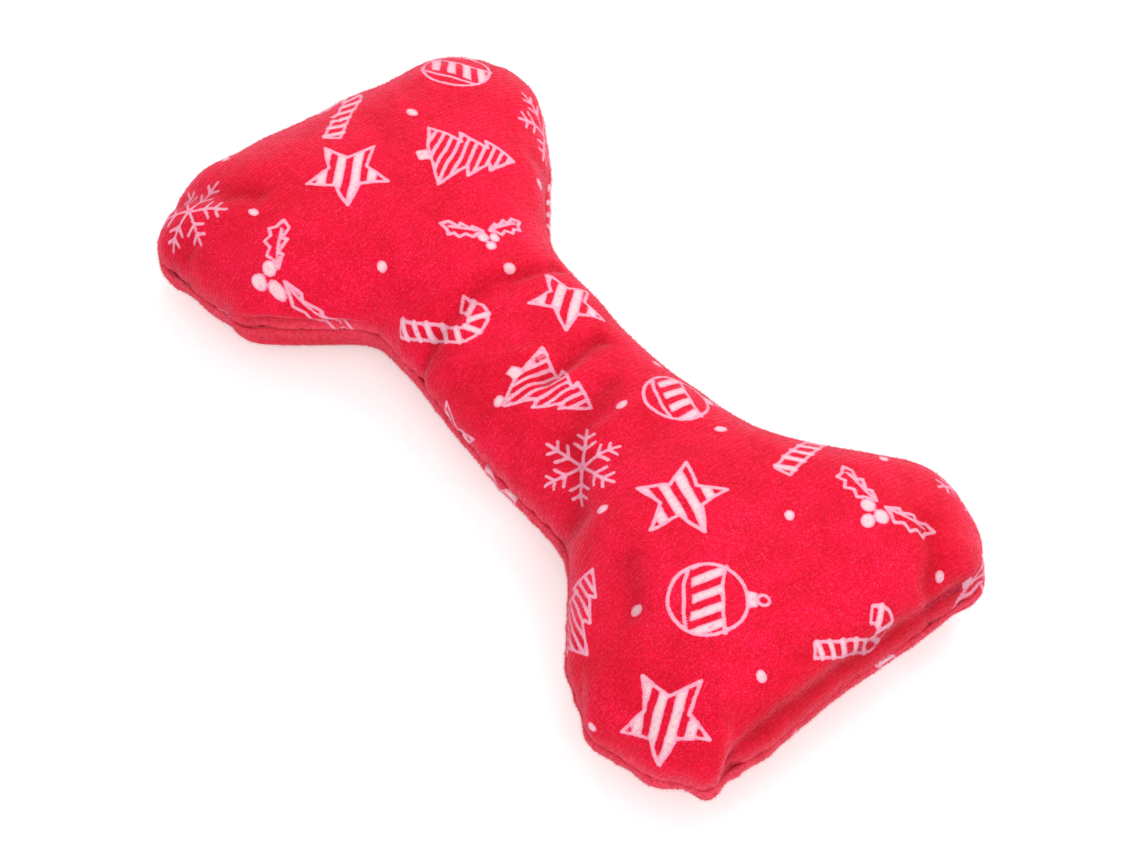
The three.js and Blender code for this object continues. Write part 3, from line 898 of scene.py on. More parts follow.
@dataclass
class VelourPrint:
    """The print of one cover: which motifs lie where, and how far inside the ink a place is."""

    motifs: tuple[Motif, ...]
    wobble: float = 0.38

    def depth(self, cloth: np.ndarray) -> np.ndarray:
        """Prints the cloth.

        Args:
            cloth: Places on the flat cloth.

        Returns:
            How far inside the ink each place is, negative outside.
        """
        shake = [SoftNoise(seed).at(cloth, 5.5) * self.wobble for seed in (21, 22)]
        drawn = cloth + np.stack(shake, 1)
        ink = np.full(len(cloth), NO_INK)
        for motif in self.motifs:
            away = drawn - (motif.x, motif.y)
            near = np.where(np.max(np.abs(away), axis=1) < motif.radius * 1.5 + 3)[0]
            if len(near) == 0:
                continue
            cos, sin = math.cos(motif.turn), math.sin(motif.turn)
            local = away[near] @ np.array([[cos, -sin], [sin, cos]])
            for mark in motif.marks():
                ink[near] = np.maximum(ink[near], mark.ink(local))
        return ink


def top_motifs() -> tuple[Motif, ...]:
    """Lays out the upper cover's print.

    Returns:
        Its motifs.
    """
    kind = InkKind
    dots = (
        (-84, 16), (-52, 38), (-112, 22), (-82, -36), (-108, -30), (-48, -20), (-28, 6), (2, -20), (24, 2),
        (16, 22), (46, -22), (46, 16), (78, 10), (76, 44), (110, 34), (74, -34), (106, -22), (88, -62),
        (-60, 64),
    )
    placed = (
        Motif(kind.BAUBLE, -95, 40, 12.5, 0.5), Motif(kind.SNOWFLAKE, -68, 54, 11.5, 0.1),
        Motif(kind.FIR, -63, 19, 13, -0.5), Motif(kind.CANE, -101, 2, 13, 0.7),
        Motif(kind.STAR, -76, -10, 11.5, 0.3), Motif(kind.SNOWFLAKE, -98, -48, 12, 0.5),
        Motif(kind.HOLLY, -63, -42, 13, -0.4), Motif(kind.BAUBLE, -74, -76, 11.5, -2.4),
        Motif(kind.HOLLY, -40, 8, 10, 1.2), Motif(kind.CANE, -27, -17, 12, -0.9),
        Motif(kind.STAR, -12, 13, 10.5, 0.2), Motif(kind.FIR, 8, -8, 12, -1.2),
        Motif(kind.BAUBLE, 31, 16, 11.5, -0.4), Motif(kind.SNOWFLAKE, 31, -17, 11, 0.0),
        Motif(kind.CANE, 60, 28, 12.5, 0.3), Motif(kind.STAR, 58, -7, 11.5, 0.8),
        Motif(kind.FIR, 61, -46, 12.5, 0.4), Motif(kind.HOLLY, 88, 30, 12.5, 0.3),
        Motif(kind.BAUBLE, 85, -19, 12.5, -0.7), Motif(kind.SNOWFLAKE, 90, 62, 12, 0.3),
        Motif(kind.STAR, 100, -46, 12, 0.1), Motif(kind.CANE, 112, 5, 12, -0.5),
        Motif(kind.HOLLY, 76, -78, 11, 2.9), Motif(kind.FIR, -106, 72, 12, 0.9),
        Motif(kind.SNOWFLAKE, -2, 40, 11, 0.2), Motif(kind.STAR, -6, -41, 11, 0.5),
        Motif(kind.FIR, 124, 52, 12, -0.8), Motif(kind.BAUBLE, -128, -22, 12, 1.4),
    )
    return placed + tuple(Motif(kind.DOT, x, y, 1.25, 0.13 * x) for x, y in dots)


def bottom_motifs() -> tuple[Motif, ...]:
    """Lays out the lower cover's print: the same cloth, cut from another place.

    Returns:
        Its motifs.
    """
    return tuple(
        Motif(m.kind, -m.x + 9, m.y + 12, m.radius, m.turn + 0.6) for m in top_motifs() if m.y > -42
    )


class NodePlan:
    """Adds and links the nodes of one tree."""

    def __init__(self, tree: bpy.types.NodeTree) -> None:
        """Starts with an empty tree."""
        self.tree = tree
        tree.nodes.clear()

    def add(self, kind: str, inputs: dict | None = None, **settings: object) -> bpy.types.Node:
        """Adds a node.

        Args:
            kind: The node's type.
            inputs: A value or an output for each input, by its name or number.
            settings: Values of the node's own properties.

        Returns:
            The new node.
        """
        node = self.tree.nodes.new(kind)
        for name, value in settings.items():
            setattr(node, name, value)
        for name, value in (inputs or {}).items():
            self.feed(node.inputs[name], value)
        return node

    def feed(self, socket: bpy.types.NodeSocket, value: object) -> None:
        """Links an output to a socket, or sets its value.

        Args:
            socket: The socket.
            value: The output or the value.
        """
        if isinstance(value, bpy.types.NodeSocket):
            self.tree.links.new(value, socket)
        else:
            socket.default_value = value

    def math(self, operation: str, first: object, second: object = 0.0) -> bpy.types.NodeSocket:
        """Returns the result of a sum of two values."""
        return self.add("ShaderNodeMath", {0: first, 1: second}, operation=operation).outputs[0]

    def vectors(self, operation: str, inputs: dict) -> bpy.types.NodeSocket:
        """Returns the result of a sum of vectors."""
        return self.add("ShaderNodeVectorMath", inputs, operation=operation).outputs[0]

    def vector(self, x: object, y: object, z: object) -> bpy.types.NodeSocket:
        """Returns the vector of three values."""
        return self.add("ShaderNodeCombineXYZ", {0: x, 1: y, 2: z}).outputs[0]

    def ease(
        self, value: object, low: float, high: float, start: float = 0.0, end: float = 1.0,
    ) -> bpy.types.NodeSocket:
        """Returns value eased from start at low to end at high."""
        fed = {"Value": value, "From Min": low, "From Max": high, "To Min": start, "To Max": end}
        return self.add("ShaderNodeMapRange", fed, interpolation_type="SMOOTHSTEP").outputs[0]

    def mix(self, share: object, first: object, second: object, blend: str = "MIX") -> bpy.types.NodeSocket:
        """Returns a mix of two colours."""
        node = self.add("ShaderNodeMix", {0: share, 6: first, 7: second}, data_type="RGBA", blend_type=blend)
        return node.outputs[2]

    def noise(
        self, place: object, scale: float, detail: float = 2.0, rough: float = 0.5,
    ) -> bpy.types.NodeSocket:
        """Returns a noise of about 0.5 at a scale in turns for each metre."""
        fed = {"Vector": place, "Scale": scale, "Detail": detail, "Roughness": rough}
        return self.add("ShaderNodeTexNoise", fed).outputs[0]

    def attribute(self, name: str, output: str = "Fac") -> bpy.types.NodeSocket:
        """Returns an attribute of the piece."""
        return self.add("ShaderNodeAttribute", attribute_name=name).outputs[output]

    def place(self) -> bpy.types.NodeSocket:
        """Returns the place on the piece in its own metres."""
        return self.add("ShaderNodeTexCoord").outputs["Object"]

    def bump(
        self, height: object, distance: float, strength: float, under: object = None,
    ) -> bpy.types.NodeSocket:
        """Tilts the surface's normal.

        Args:
            height: The relief, from 0 to 1.
            distance: The height that 1 stands for, in metres.
            strength: The share of the tilt that is used.
            under: The normal that it starts from.

        Returns:
            The tilted normal.
        """
        fed = {"Height": height, "Distance": distance, "Strength": strength}
        if under is not None:
            fed["Normal"] = under
        return self.add("ShaderNodeBump", fed).outputs[0]

    def surface(self, inputs: dict) -> None:
        """Ends a material with a principled shader."""
        shader = self.add("ShaderNodeBsdfPrincipled", inputs)
        self.add("ShaderNodeOutputMaterial", {"Surface": shader.outputs[0]})

    def scatter(
        self, points: object, shape: object, turn: object, size: object, material: bpy.types.Material,
    ) -> bpy.types.NodeTree:
        """Ends a geometry tree with one shape on each point.

        Args:
            points: The points.
            shape: The shape that they get.
            turn: How each is turned.
            size: How each is scaled.
            material: The material of all.

        Returns:
            The finished tree.
        """
        placed = self.add("GeometryNodeInstanceOnPoints", {
            "Points": points, "Instance": shape, "Rotation": turn, "Scale": size,
        })
        real = self.add("GeometryNodeRealizeInstances", {"Geometry": placed.outputs["Instances"]})
        dressed = self.add("GeometryNodeSetMaterial", {"Geometry": real.outputs[0], "Material": material})
        self.add("NodeGroupOutput", {"Geometry": dressed.outputs[0]})
        return self.tree


def new_material(name: str) -> tuple[bpy.types.Material, NodePlan]:
    """Starts a material.

    Args:
        name: The material's name.

    Returns:
        The material and the plan of its nodes.
    """
    material = bpy.data.materials.new(name)
    material.use_nodes = True
    return material, NodePlan(material.node_tree)


def colour(red: float, green: float, blue: float) -> tuple[float, float, float, float]:
    """Returns a linear colour with full cover."""
    return (red, green, blue, 1.0)


@dataclass(frozen=True)
class VelourFinish:
    """Printed velour: short pile over a knit; a painted highlight and the pale backing make it lighter where
    it rolls over at the seam, painted shade darkens its creases, and painted glints fleck its pile.
    """

    name: str = "printed_velour"
    lit: tuple = colour(0.955, 0.002, 0.046)
    deep: tuple = colour(0.85, 0.001, 0.034)
    ink: tuple = colour(0.99, 0.67, 0.71)
    ink_lines: tuple = colour(1.0, 0.40, 0.56)
    edge: tuple = colour(0.93, 0.11, 0.18)
    tip_glints: tuple = colour(0.98, 0.11, 0.19)
    shadow: tuple = colour(0.62, 0.42, 0.45)
    rib_pitch: float = 1.35
    pile_scale: float = 2600
    tuft_scale: float = 900
    rib_bend_scale: float = 260
    mottle_scale: float = 170
    nap_scale: float = 46

    def build(self) -> bpy.types.Material:
        """Makes the material.

        Returns:
            The material.
        """
        material, plan = new_material(self.name)
        place = plan.place()
        cloth = plan.attribute("cloth", "Vector")
        print_depth = plan.attribute("print")
        hollow = plan.attribute("hollow")
        rolled = plan.attribute("rolled")

        pile = plan.noise(place, self.pile_scale, 2.0, 0.6)
        tuft = plan.noise(place, self.tuft_scale, 2.0, 0.55)
        mottle = plan.noise(place, self.mottle_scale, 3.0, 0.5)
        nap = plan.noise(place, self.nap_scale, 4.0, 0.62)
        rib_bend = plan.math("SUBTRACT", plan.noise(place, self.rib_bend_scale, 1.0), 0.5)
        rib_bend = plan.math("MULTIPLY", rib_bend, 1.8)
        ribs = plan.add("ShaderNodeSeparateXYZ", {0: cloth}).outputs["X"]
        ribs = plan.math("MULTIPLY", ribs, 2 * math.pi / self.rib_pitch)
        ribs = plan.math("SINE", plan.math("ADD", ribs, rib_bend))

        ragged = plan.math("MULTIPLY", plan.math("SUBTRACT", tuft, 0.5), 0.26)
        fuzz = plan.math("MULTIPLY", plan.math("SUBTRACT", pile, 0.5), 0.22)
        edge = plan.math("ADD", print_depth, plan.math("ADD", ragged, fuzz))
        ink = plan.ease(edge, -0.15, 0.15)

        shade = plan.ease(mottle, 0.30, 0.72)
        red = plan.mix(shade, self.deep, self.lit)
        # Nap noise plus the marks: partly nap, partly painted shade and painted light, which darken or
        # lighten both the red and the print.
        nap_and_shading_sum = plan.math("MULTIPLY", plan.attribute("nap_and_painted_shading"), 0.8)
        nap_and_shading_sum = plan.math("ADD", plan.math("MULTIPLY", nap, 2.8), nap_and_shading_sum)
        nap_and_painted_shading = plan.ease(nap_and_shading_sum, 0.6, 2.2, 0.68, 1.26)
        fine = plan.math("ADD", plan.math("MULTIPLY", pile, 0.55), plan.math("MULTIPLY", tuft, 0.45))
        light = plan.ease(fine, 0.30, 0.72, 0.84, 1.10)
        light = plan.math("ADD", light, plan.math("MULTIPLY", ribs, 0.03))
        vivid = plan.math("MULTIPLY", light, plan.ease(fine, 0.30, 0.72, 0.64, 1.36))
        vivid = plan.math("MULTIPLY", vivid, nap_and_painted_shading)
        light = plan.math("MULTIPLY", light, plan.ease(nap_and_painted_shading, 0.68, 1.26, 0.93, 1.05))
        # Painted glints: fine pile noise mixes in a lighter, pinker red that stands for light caught on fibre
        # tips.
        red = plan.mix(plan.ease(pile, 0.52, 0.76, 0.0, 0.42), red, self.tip_glints)
        # Partly painted highlight: the rolled seam edge is mixed towards a lighter pink, standing for sheen
        # on the roll as well as the pale backing at the seam.
        red = plan.mix(plan.math("MULTIPLY", rolled, 0.55), red, self.edge)
        worn = plan.math("ADD", tuft, plan.math("MULTIPLY", ribs, 0.05))
        worn = plan.mix(plan.ease(worn, 0.20, 0.45), self.ink_lines, self.ink)
        worn = plan.mix(plan.ease(print_depth, 0.1, 0.75), self.ink_lines, worn)
        red = plan.mix(1.0, red, plan.vector(light, vivid, vivid), "MULTIPLY")
        worn = plan.mix(0.35, worn, plan.vector(light, light, light), "MULTIPLY")
        base = plan.mix(ink, red, worn)
        # Painted shade: the shadow colour darkens the puckers, creases, tucks and the edge where it turns
        # under into the seam.
        base = plan.mix(hollow, base, self.shadow, "MULTIPLY")

        coarse = plan.math("ADD", plan.math("MULTIPLY", tuft, 0.7), plan.math("MULTIPLY", ribs, 0.09))
        under = plan.bump(mottle, 0.0012, 0.35)
        under = plan.bump(coarse, 0.0006, 0.55, under)
        normal = plan.bump(pile, 0.0003, 0.6, under)
        plan.surface({
            "Base Color": base, "Roughness": 0.86, "Specular IOR Level": 0.18, "Normal": normal,
            "Sheen Weight": 1.0, "Sheen Roughness": 0.32, "Sheen Tint": colour(1.0, 0.32, 0.45),
        })
        return material


@dataclass(frozen=True)
class BackingFinish:
    """The knitted back of the velour, seen on the turned-in edge and inside."""

    name: str = "velour_backing"
    tone: tuple = colour(0.70, 0.03, 0.07)
    dark: tuple = colour(0.42, 0.012, 0.035)
    stitch: float = 1300

    def build(self) -> bpy.types.Material:
        """Makes the material.

        Returns:
            The material.
        """
        material, plan = new_material(self.name)
        place = plan.place()
        loops = plan.add("ShaderNodeTexVoronoi", {"Vector": place, "Scale": self.stitch}).outputs["Distance"]
        base = plan.mix(plan.ease(loops, 0.1, 0.6), self.tone, self.dark)
        plan.surface({
            "Base Color": base, "Roughness": 0.9, "Specular IOR Level": 0.15,
            "Normal": plan.bump(loops, 0.0003, 0.5),
        })
        return material


@dataclass(frozen=True)
class ThreadFinish:
    """Twisted polyester sewing thread."""

    name: str = "sewing_thread"
    tone: tuple = colour(0.62, 0.012, 0.04)
    dark: tuple = colour(0.34, 0.006, 0.02)
    twist: float = 2600

    def build(self) -> bpy.types.Material:
        """Makes the material.

        Returns:
            The material.
        """
        material, plan = new_material(self.name)
        place = plan.place()
        wave = plan.add("ShaderNodeTexWave", {"Vector": place, "Scale": self.twist / 6, "Distortion": 2.0})
        base = plan.mix(plan.ease(wave.outputs["Fac"], 0.2, 0.8), self.dark, self.tone)
        plan.surface({
            "Base Color": base, "Roughness": 0.5, "Sheen Weight": 0.3,
            "Normal": plan.bump(wave.outputs["Fac"], 0.0001, 0.6),
        })
        return material


@dataclass(frozen=True)
class FibreFinish:
    """White hollow-fibre filling."""

    name: str = "fibre_filling"
    tone: tuple = colour(0.90, 0.89, 0.86)
    shade: tuple = colour(0.66, 0.65, 0.62)

    def build(self) -> bpy.types.Material:
        """Makes the material.

        Returns:
            The material.
        """
        material, plan = new_material(self.name)
        place = plan.place()
        bend = plan.add("ShaderNodeTexNoise", {"Vector": place, "Scale": 120.0, "Detail": 3.0})
        bend = bend.outputs["Color"]
        drift = plan.vectors("SCALE", {0: bend, "Scale": 0.012})
        bent = plan.vectors("MULTIPLY_ADD", {0: place, 1: bend, 2: drift})
        strands = plan.add("ShaderNodeTexWave", {
            "Vector": bent, "Scale": 500.0, "Distortion": 6.0, "Detail": 3.0,
        })
        clumps = plan.noise(place, 160, 4.0, 0.6)
        base = plan.mix(plan.ease(clumps, 0.3, 0.7), self.shade, self.tone)
        base = plan.mix(plan.ease(strands.outputs["Fac"], 0.0, 1.0, 0.0, 0.3), base, self.tone)
        under = plan.bump(clumps, 0.001, 0.6)
        plan.surface({
            "Base Color": base, "Roughness": 0.8, "Sheen Weight": 0.4,
            "Normal": plan.bump(strands.outputs["Fac"], 0.0002, 0.5, under),
        })
        return material


@dataclass(frozen=True)
class BulbFinish:
    """Milky blow-moulded plastic of the squeaker bulb."""

    name: str = "bulb_plastic"
    tone: tuple = colour(0.80, 0.77, 0.69)
    shade: tuple = colour(0.70, 0.66, 0.56)

    def build(self) -> bpy.types.Material:
        """Makes the material.

        Returns:
            The material.
        """
        material, plan = new_material(self.name)
        place = plan.place()
        cloud = plan.noise(place, 130, 3.0, 0.5)
        flow = plan.noise(place, 900, 2.0, 0.5)
        plan.surface({
            "Base Color": plan.mix(plan.ease(cloud, 0.3, 0.7), self.shade, self.tone),
            "Roughness": plan.ease(flow, 0.3, 0.7, 0.34, 0.48),
            "Subsurface Weight": 0.35, "Subsurface Scale": 0.002,
            "Normal": plan.bump(flow, 0.0002, 0.15),
        })
        return material


@dataclass(frozen=True)
class ReedFinish:
    """Glossy plastic of the reed unit, or its amber film."""

    name: str
    tone: tuple
    shade: tuple
    roughness: float

    def build(self) -> bpy.types.Material:
        """Makes the material.

        Returns:
            The material.
        """
        material, plan = new_material(self.name)
        place = plan.place()
        cloud = plan.noise(place, 700, 3.0, 0.5)
        scratch = plan.add("ShaderNodeTexWave", {
            "Vector": place, "Scale": 800.0, "Distortion": 9.0, "Detail": 2.0,
        })
        plan.surface({
            "Base Color": plan.mix(plan.ease(cloud, 0.3, 0.7), self.shade, self.tone),
            "Roughness": plan.ease(scratch.outputs["Fac"], 0.0, 1.0, self.roughness, self.roughness + 0.12),
            "Normal": plan.bump(scratch.outputs["Fac"], 0.00005, 0.2),
        })
        return material


def new_object(name: str, data: object) -> bpy.types.Object:
    """Makes an object of the scene.

    Args:
        name: The object's name.
        data: Its mesh, camera or lamp.

    Returns:
        The new object at the origin.
    """
    thing = bpy.data.objects.new(name, data)
    bpy.context.scene.collection.objects.link(thing)
    return thing


def shade_smooth(mesh: bpy.types.Mesh) -> None:
    """Shades all faces of a mesh smoothly."""
    mesh.polygons.foreach_set("use_smooth", np.ones(len(mesh.polygons), bool))


def mesh_object(
    name: str, points: np.ndarray, faces: list[np.ndarray], materials: list[bpy.types.Material],
) -> bpy.types.Object:
    """Makes an object from points in millimetres.

    Args:
        name: The piece's name.
        points: The points, three numbers a row.
        faces: Arrays of faces, each with one face a row.
        materials: The piece's materials.

    Returns:
        The new object at the origin, smooth shaded.
    """
    mesh = bpy.data.meshes.new(name)
    corners = np.concatenate([f.ravel() for f in faces])
    sizes = np.concatenate([np.full(len(f), f.shape[1]) for f in faces])
    mesh.vertices.add(len(points))
    mesh.vertices.foreach_set("co", (points * MM).astype(np.float32).ravel())
    mesh.loops.add(len(corners))
    mesh.loops.foreach_set("vertex_index", corners.astype(np.int32))
    mesh.polygons.add(len(sizes))
    starts = np.concatenate([[0], np.cumsum(sizes)[:-1]])
    mesh.polygons.foreach_set("loop_start", starts.astype(np.int32))
    mesh.polygons.foreach_set("loop_total", sizes.astype(np.int32))
    shade_smooth(mesh)
    mesh.update(calc_edges=True)
    mesh.validate()
    for material in materials:
        mesh.materials.append(material)
    return new_object(name, mesh)


def write_attribute(mesh: bpy.types.Mesh, name: str, values: np.ndarray) -> None:
    """Stores an attribute on a mesh.

    Args:
        mesh: The mesh.
        name: The attribute's name.
        values: One value or one vector a point.
    """
    kind, slot = ("FLOAT", "value") if values.ndim == 1 else ("FLOAT_VECTOR", "vector")
    attribute = mesh.attributes.new(name, kind, "POINT")
    attribute.data.foreach_set(slot, values.astype(np.float32).ravel())


def point_normals(points: np.ndarray, quads: np.ndarray) -> np.ndarray:
    """Finds which way a quad mesh faces.

    Args:
        points: The mesh's points.
        quads: Its quads.

    Returns:
        The outward direction at each point.
    """
    across = points[quads[:, 2]] - points[quads[:, 0]]
    along = points[quads[:, 3]] - points[quads[:, 1]]
    faces = np.cross(across, along)
    normals = np.stack([
        sum(np.bincount(quads[:, corner], faces[:, axis], len(points)) for corner in range(4))
        for axis in range(3)
    ], 1)
    return normals / np.maximum(np.linalg.norm(normals, axis=1), TINY)[:, None]


@dataclass
class CoverShape:
    """The outer face of one cover, from the middle of the bone over the wall to the rolled edge."""

    body: BoneBody
    side: Side
    patch_share: float = 0.88
    wall_rows: int = 26
    roll_rows: int = 8

    def rows(self) -> np.ndarray:
        """Lays out the wall's rows.

        Returns:
            The share of each row, from the patch to the rim.
        """
        start = self.body.share_angle(self.side, np.array([self.patch_share]))[0]
        angles = np.linspace(start, math.pi / 2, self.wall_rows + 1)[1:]
        return self.body.angle_share(self.side, angles)

    def raised(
        self, plan: np.ndarray, index: np.ndarray, share: np.ndarray, shrink: float = 0.0,
    ) -> np.ndarray:
        """Gives places seen from above their height on the unfolded bone.

        Args:
            plan: The places seen from above.
            index: The index of each place's ray.
            share: Each place's share of its ray.
            shrink: How far inside the cloth's outer face the surface lies.

        Returns:
            The places with their heights.
        """
        outline, body = self.body.outline, self.body
        root = outline.read(outline.root, index)
        full = body.height(self.side, root[:, 0]) - body.roll_height - shrink
        if self.side is Side.TOP:
            full = full + body.relief(plan)
        lift = body.seam_lift(outline.read(outline.along, index)) * share**4
        fullness = body.fullness(self.side, share, root[:, 0], body.crown_power(plan))
        rise = body.roll_height + full * fullness
        return np.column_stack([plan, body.seam_height + lift + self.side.value * rise])

    def skin(self) -> tuple[np.ndarray, np.ndarray, np.ndarray, np.ndarray]:
        """Builds the outer face.

        Returns:
            Its points, its quads, and the ray index and share of each point, where a share over 1
            counts the rows of the rolled edge.
        """
        outline, body = self.body.outline, self.body
        count = outline.count
        rays = outline.rim - outline.root
        patch = outline.patch(outline.root + rays * self.patch_share)
        flat = patch.reshape(-1, 2)
        index, share = outline.locate(flat)
        border = outline.border()
        index[border], share[border] = np.arange(count), self.patch_share
        points = [self.raised(flat, index, share)]
        indices, shares = [index], [share]
        steps = np.arange(count, dtype=float)
        for row in self.rows():
            level = np.full(count, row)
            points.append(self.raised(outline.root + rays * row, steps, level))
            indices.append(steps)
            shares.append(level)
        lift = body.seam_lift(outline.along)
        for number, turn in enumerate(np.linspace(0, math.pi / 2, self.roll_rows + 1)[1:], 1):
            inset = body.roll_depth * (1 - math.cos(turn))
            rise = body.roll_height - (body.roll_height - body.seam_gap) * math.sin(turn)
            points.append(np.column_stack([
                outline.rim - outline.outward * inset,
                body.seam_height + lift + self.side.value * rise,
            ]))
            indices.append(steps)
            shares.append(np.full(count, 1 + number / self.roll_rows))
        grid = np.arange(len(flat)).reshape(patch.shape[:2])
        quads = np.stack([grid[:-1, :-1], grid[1:, :-1], grid[1:, 1:], grid[:-1, 1:]], -1).reshape(-1, 4)
        loops = [border]
        for row in range(self.wall_rows + self.roll_rows):
            loops.append(len(flat) + count * row + np.arange(count))
        strips = [self.strip(low, high) for low, high in zip(loops[:-1], loops[1:])]
        self.last_loop = loops[-1]
        return np.vstack(points), np.vstack([quads, *strips]), np.concatenate(indices), np.concatenate(shares)

    @staticmethod
    def strip(low: np.ndarray, high: np.ndarray) -> np.ndarray:
        """Returns the quads between two loops of as many points."""
        return np.stack([low, high, np.roll(high, -1), np.roll(low, -1)], 1)


@dataclass
class Cover:
    """One velour panel of the bone, a closed shell of cloth with its edge turned in."""

    shape: CoverShape
    node: str
    drawing: VelourPrint
    finish: list[bpy.types.Material]
    inner_step: int = 4
    inner_rows: int = 6
    cloth: float = 2.4
    allowance: float = 6.0
    turned_top: float = 1.75
    roll_share: float = 0.78

    def lining(self, first: int) -> tuple[np.ndarray, list[np.ndarray]]:
        """Builds the turned-in edge and the inner face in larger cells.

        Args:
            first: The number that the first new point gets.

        Returns:
            The new points and their faces.
        """
        shape, step = self.shape, self.inner_step
        body, outline, side = shape.body, shape.body.outline, shape.side.value
        count = outline.count // step
        steps = np.arange(0, outline.count, step, dtype=float)
        rim, outward, root = outline.rim[::step], outline.outward[::step], outline.root[::step]
        lift = body.seam_lift(outline.along[::step])
        rays = rim - root
        length = np.linalg.norm(rays, axis=1)[:, None]
        inner = root + rays * (1 - self.cloth / length)
        points = []
        for inset, rise in (
            (self.allowance, body.seam_gap), (self.allowance, self.turned_top),
            (self.cloth + 1.0, self.turned_top),
        ):
            height = body.seam_height + lift + side * rise
            points.append(np.column_stack([rim - outward * inset, height]))
        start = body.share_angle(shape.side, np.array([shape.patch_share]))[0]
        for angle in np.linspace(math.pi / 2 - 0.12, start, self.inner_rows):
            share = float(body.angle_share(shape.side, np.array([angle]))[0])
            plan = root + (inner - root) * share
            points.append(shape.raised(plan, steps, np.full(count, share), self.cloth))
        patch = outline.patch(points[-1][:, :2], step)
        flat = patch.reshape(-1, 2)
        index, share = outline.locate(flat)
        border = outline.border(step)
        index[border] = steps
        reach = np.linalg.norm(outline.ray_at(index)[1], axis=1)
        share = np.clip(share / (1 - self.cloth / reach), 0, 1)
        share[border] = shape.patch_share
        cap = shape.raised(flat, index, share, self.cloth)
        cap[border] = points[-1]
        loops = [first + row * count + np.arange(count) for row in range(len(points) - 1)]
        base = first + (len(points) - 1) * count
        loops.append(base + border)
        grid = base + np.arange(len(flat)).reshape(patch.shape[:2])
        quads = np.stack([grid[:-1, :-1], grid[:-1, 1:], grid[1:, 1:], grid[1:, :-1]], -1).reshape(-1, 4)
        strips = [shape.strip(low, high) for low, high in zip(loops[:-1], loops[1:])]
        fine = np.append(shape.last_loop, shape.last_loop[0])
        coarse = np.append(loops[0], loops[0][0])
        fan = []
        for cell in range(count):
            near, second, third, fourth, far = fine[cell * step:cell * step + step + 1]
            low, high = coarse[cell], coarse[cell + 1]
            fan += [(near, low, second), (second, low, third), (third, low, high)]
            fan += [(third, high, fourth), (fourth, high, far)]
        return np.vstack(points[:-1] + [cap]), [np.vstack([quads, *strips]), np.array(fan)]

    def spread(self, index: np.ndarray, share: np.ndarray) -> tuple[np.ndarray, np.ndarray]:
        """Lays the cloth flat.

        Args:
            index: The index of each point's ray.
            share: Each point's share of its ray.

        Returns:
            Each point's place on the flat cloth, and its distance from the seam over the cloth.
        """
        body, side = self.shape.body, self.shape.side
        reach = body.cloth_reach(side, index, np.minimum(share, 1.0))
        full = body.cloth_reach(side, index, np.ones(len(index)))
        over = np.clip(share - 1, 0, 1) * (body.roll_depth + body.roll_height) * self.roll_share
        root, ray = body.outline.ray_at(index)
        ray /= np.linalg.norm(ray, axis=1)[:, None]
        return root + ray * (reach + over)[:, None], full - reach

    def build(self, settled: dict[Side, "Settled"]) -> bpy.types.Object:
        """Makes the cover.

        Args:
            settled: What the cloth simulation moved on each side, empty where it was skipped.

        Returns:
            The finished cover.
        """
        shape = self.shape
        body, top = shape.body, shape.side is Side.TOP
        points, quads, index, share = shape.skin()
        cloth, below = self.spread(index, share)
        along = body.outline.length_at(index)
        gather = body.gathers(shape.side, along, below) * (1 - 0.35 * np.clip(share - 1, 0, 1))
        troughs = body.troughs(points[:, :2], along, below) if top else 0 * gather
        fade = 1 - smoothstep(-below, -6, 0) * 0.8
        swell = body.swell(cloth if top else cloth + 300) * fade
        press = 1.0 if top else smoothstep(np.minimum(share, 1.0), body.rest_share, body.rest_share + 0.2)
        relief = (swell - troughs) * press - gather
        moved = settled[shape.side].at(points, quads) if settled else 0.0
        points = points + point_normals(points, quads) * relief[:, None] + moved
        points[:, 2] = np.maximum(points[:, 2], 0.0)
        lined, lined_faces = self.lining(len(points))
        everything = np.vstack([points, lined])
        faces = [quads, *lined_faces]
        if not top:
            faces = [part[:, ::-1] for part in faces]
        thing = mesh_object(self.node.replace("_cover", "_velour"), everything, faces, self.finish)
        # Painted shade: deeper in the puckers, the creases and tucks, and where the edge turns under into the
        # seam; the inner face gets half.
        hollow = np.clip(gather, 0, 1) * 0.15 + np.clip(troughs, 0, 2) * 0.42
        hollow = np.clip(hollow + 0.3 * smoothstep(share, 1.5, 1.95), 0, 1)
        rolled = np.exp(-((below / (2.6 if top else 4.0)) ** 2)) * (1 - smoothstep(share, 1.6, 2.0))
        standing = (1 + 2.5 * rolled) * (1 - smoothstep(share, 1.7, 2.0)) * smoothstep(points[:, 2], 1.1, 2.2)
        nap_and_painted_shading = body.nap_and_painted_shading(points[:, :2]) if top else 0 * hollow
        flat = np.vstack([cloth, lined[:, :2]])
        write_attribute(thing.data, "cloth", np.column_stack([flat, np.zeros(len(flat))]))
        for name, outside, inside in (
            ("print", self.drawing.depth(cloth), NO_INK), ("hollow", hollow, 0.5), ("nap_and_painted_shading", nap_and_painted_shading, 0.0),
            ("rolled", rolled, 0.0), ("pile", standing, 0.0),
        ):
            write_attribute(thing.data, name, np.append(outside, np.full(len(lined), inside)))
        backing = np.arange(sum(len(part) for part in faces)) >= len(quads)
        thing.data.polygons.foreach_set("material_index", backing.astype(np.int32))
        thing.data.update()
        return thing


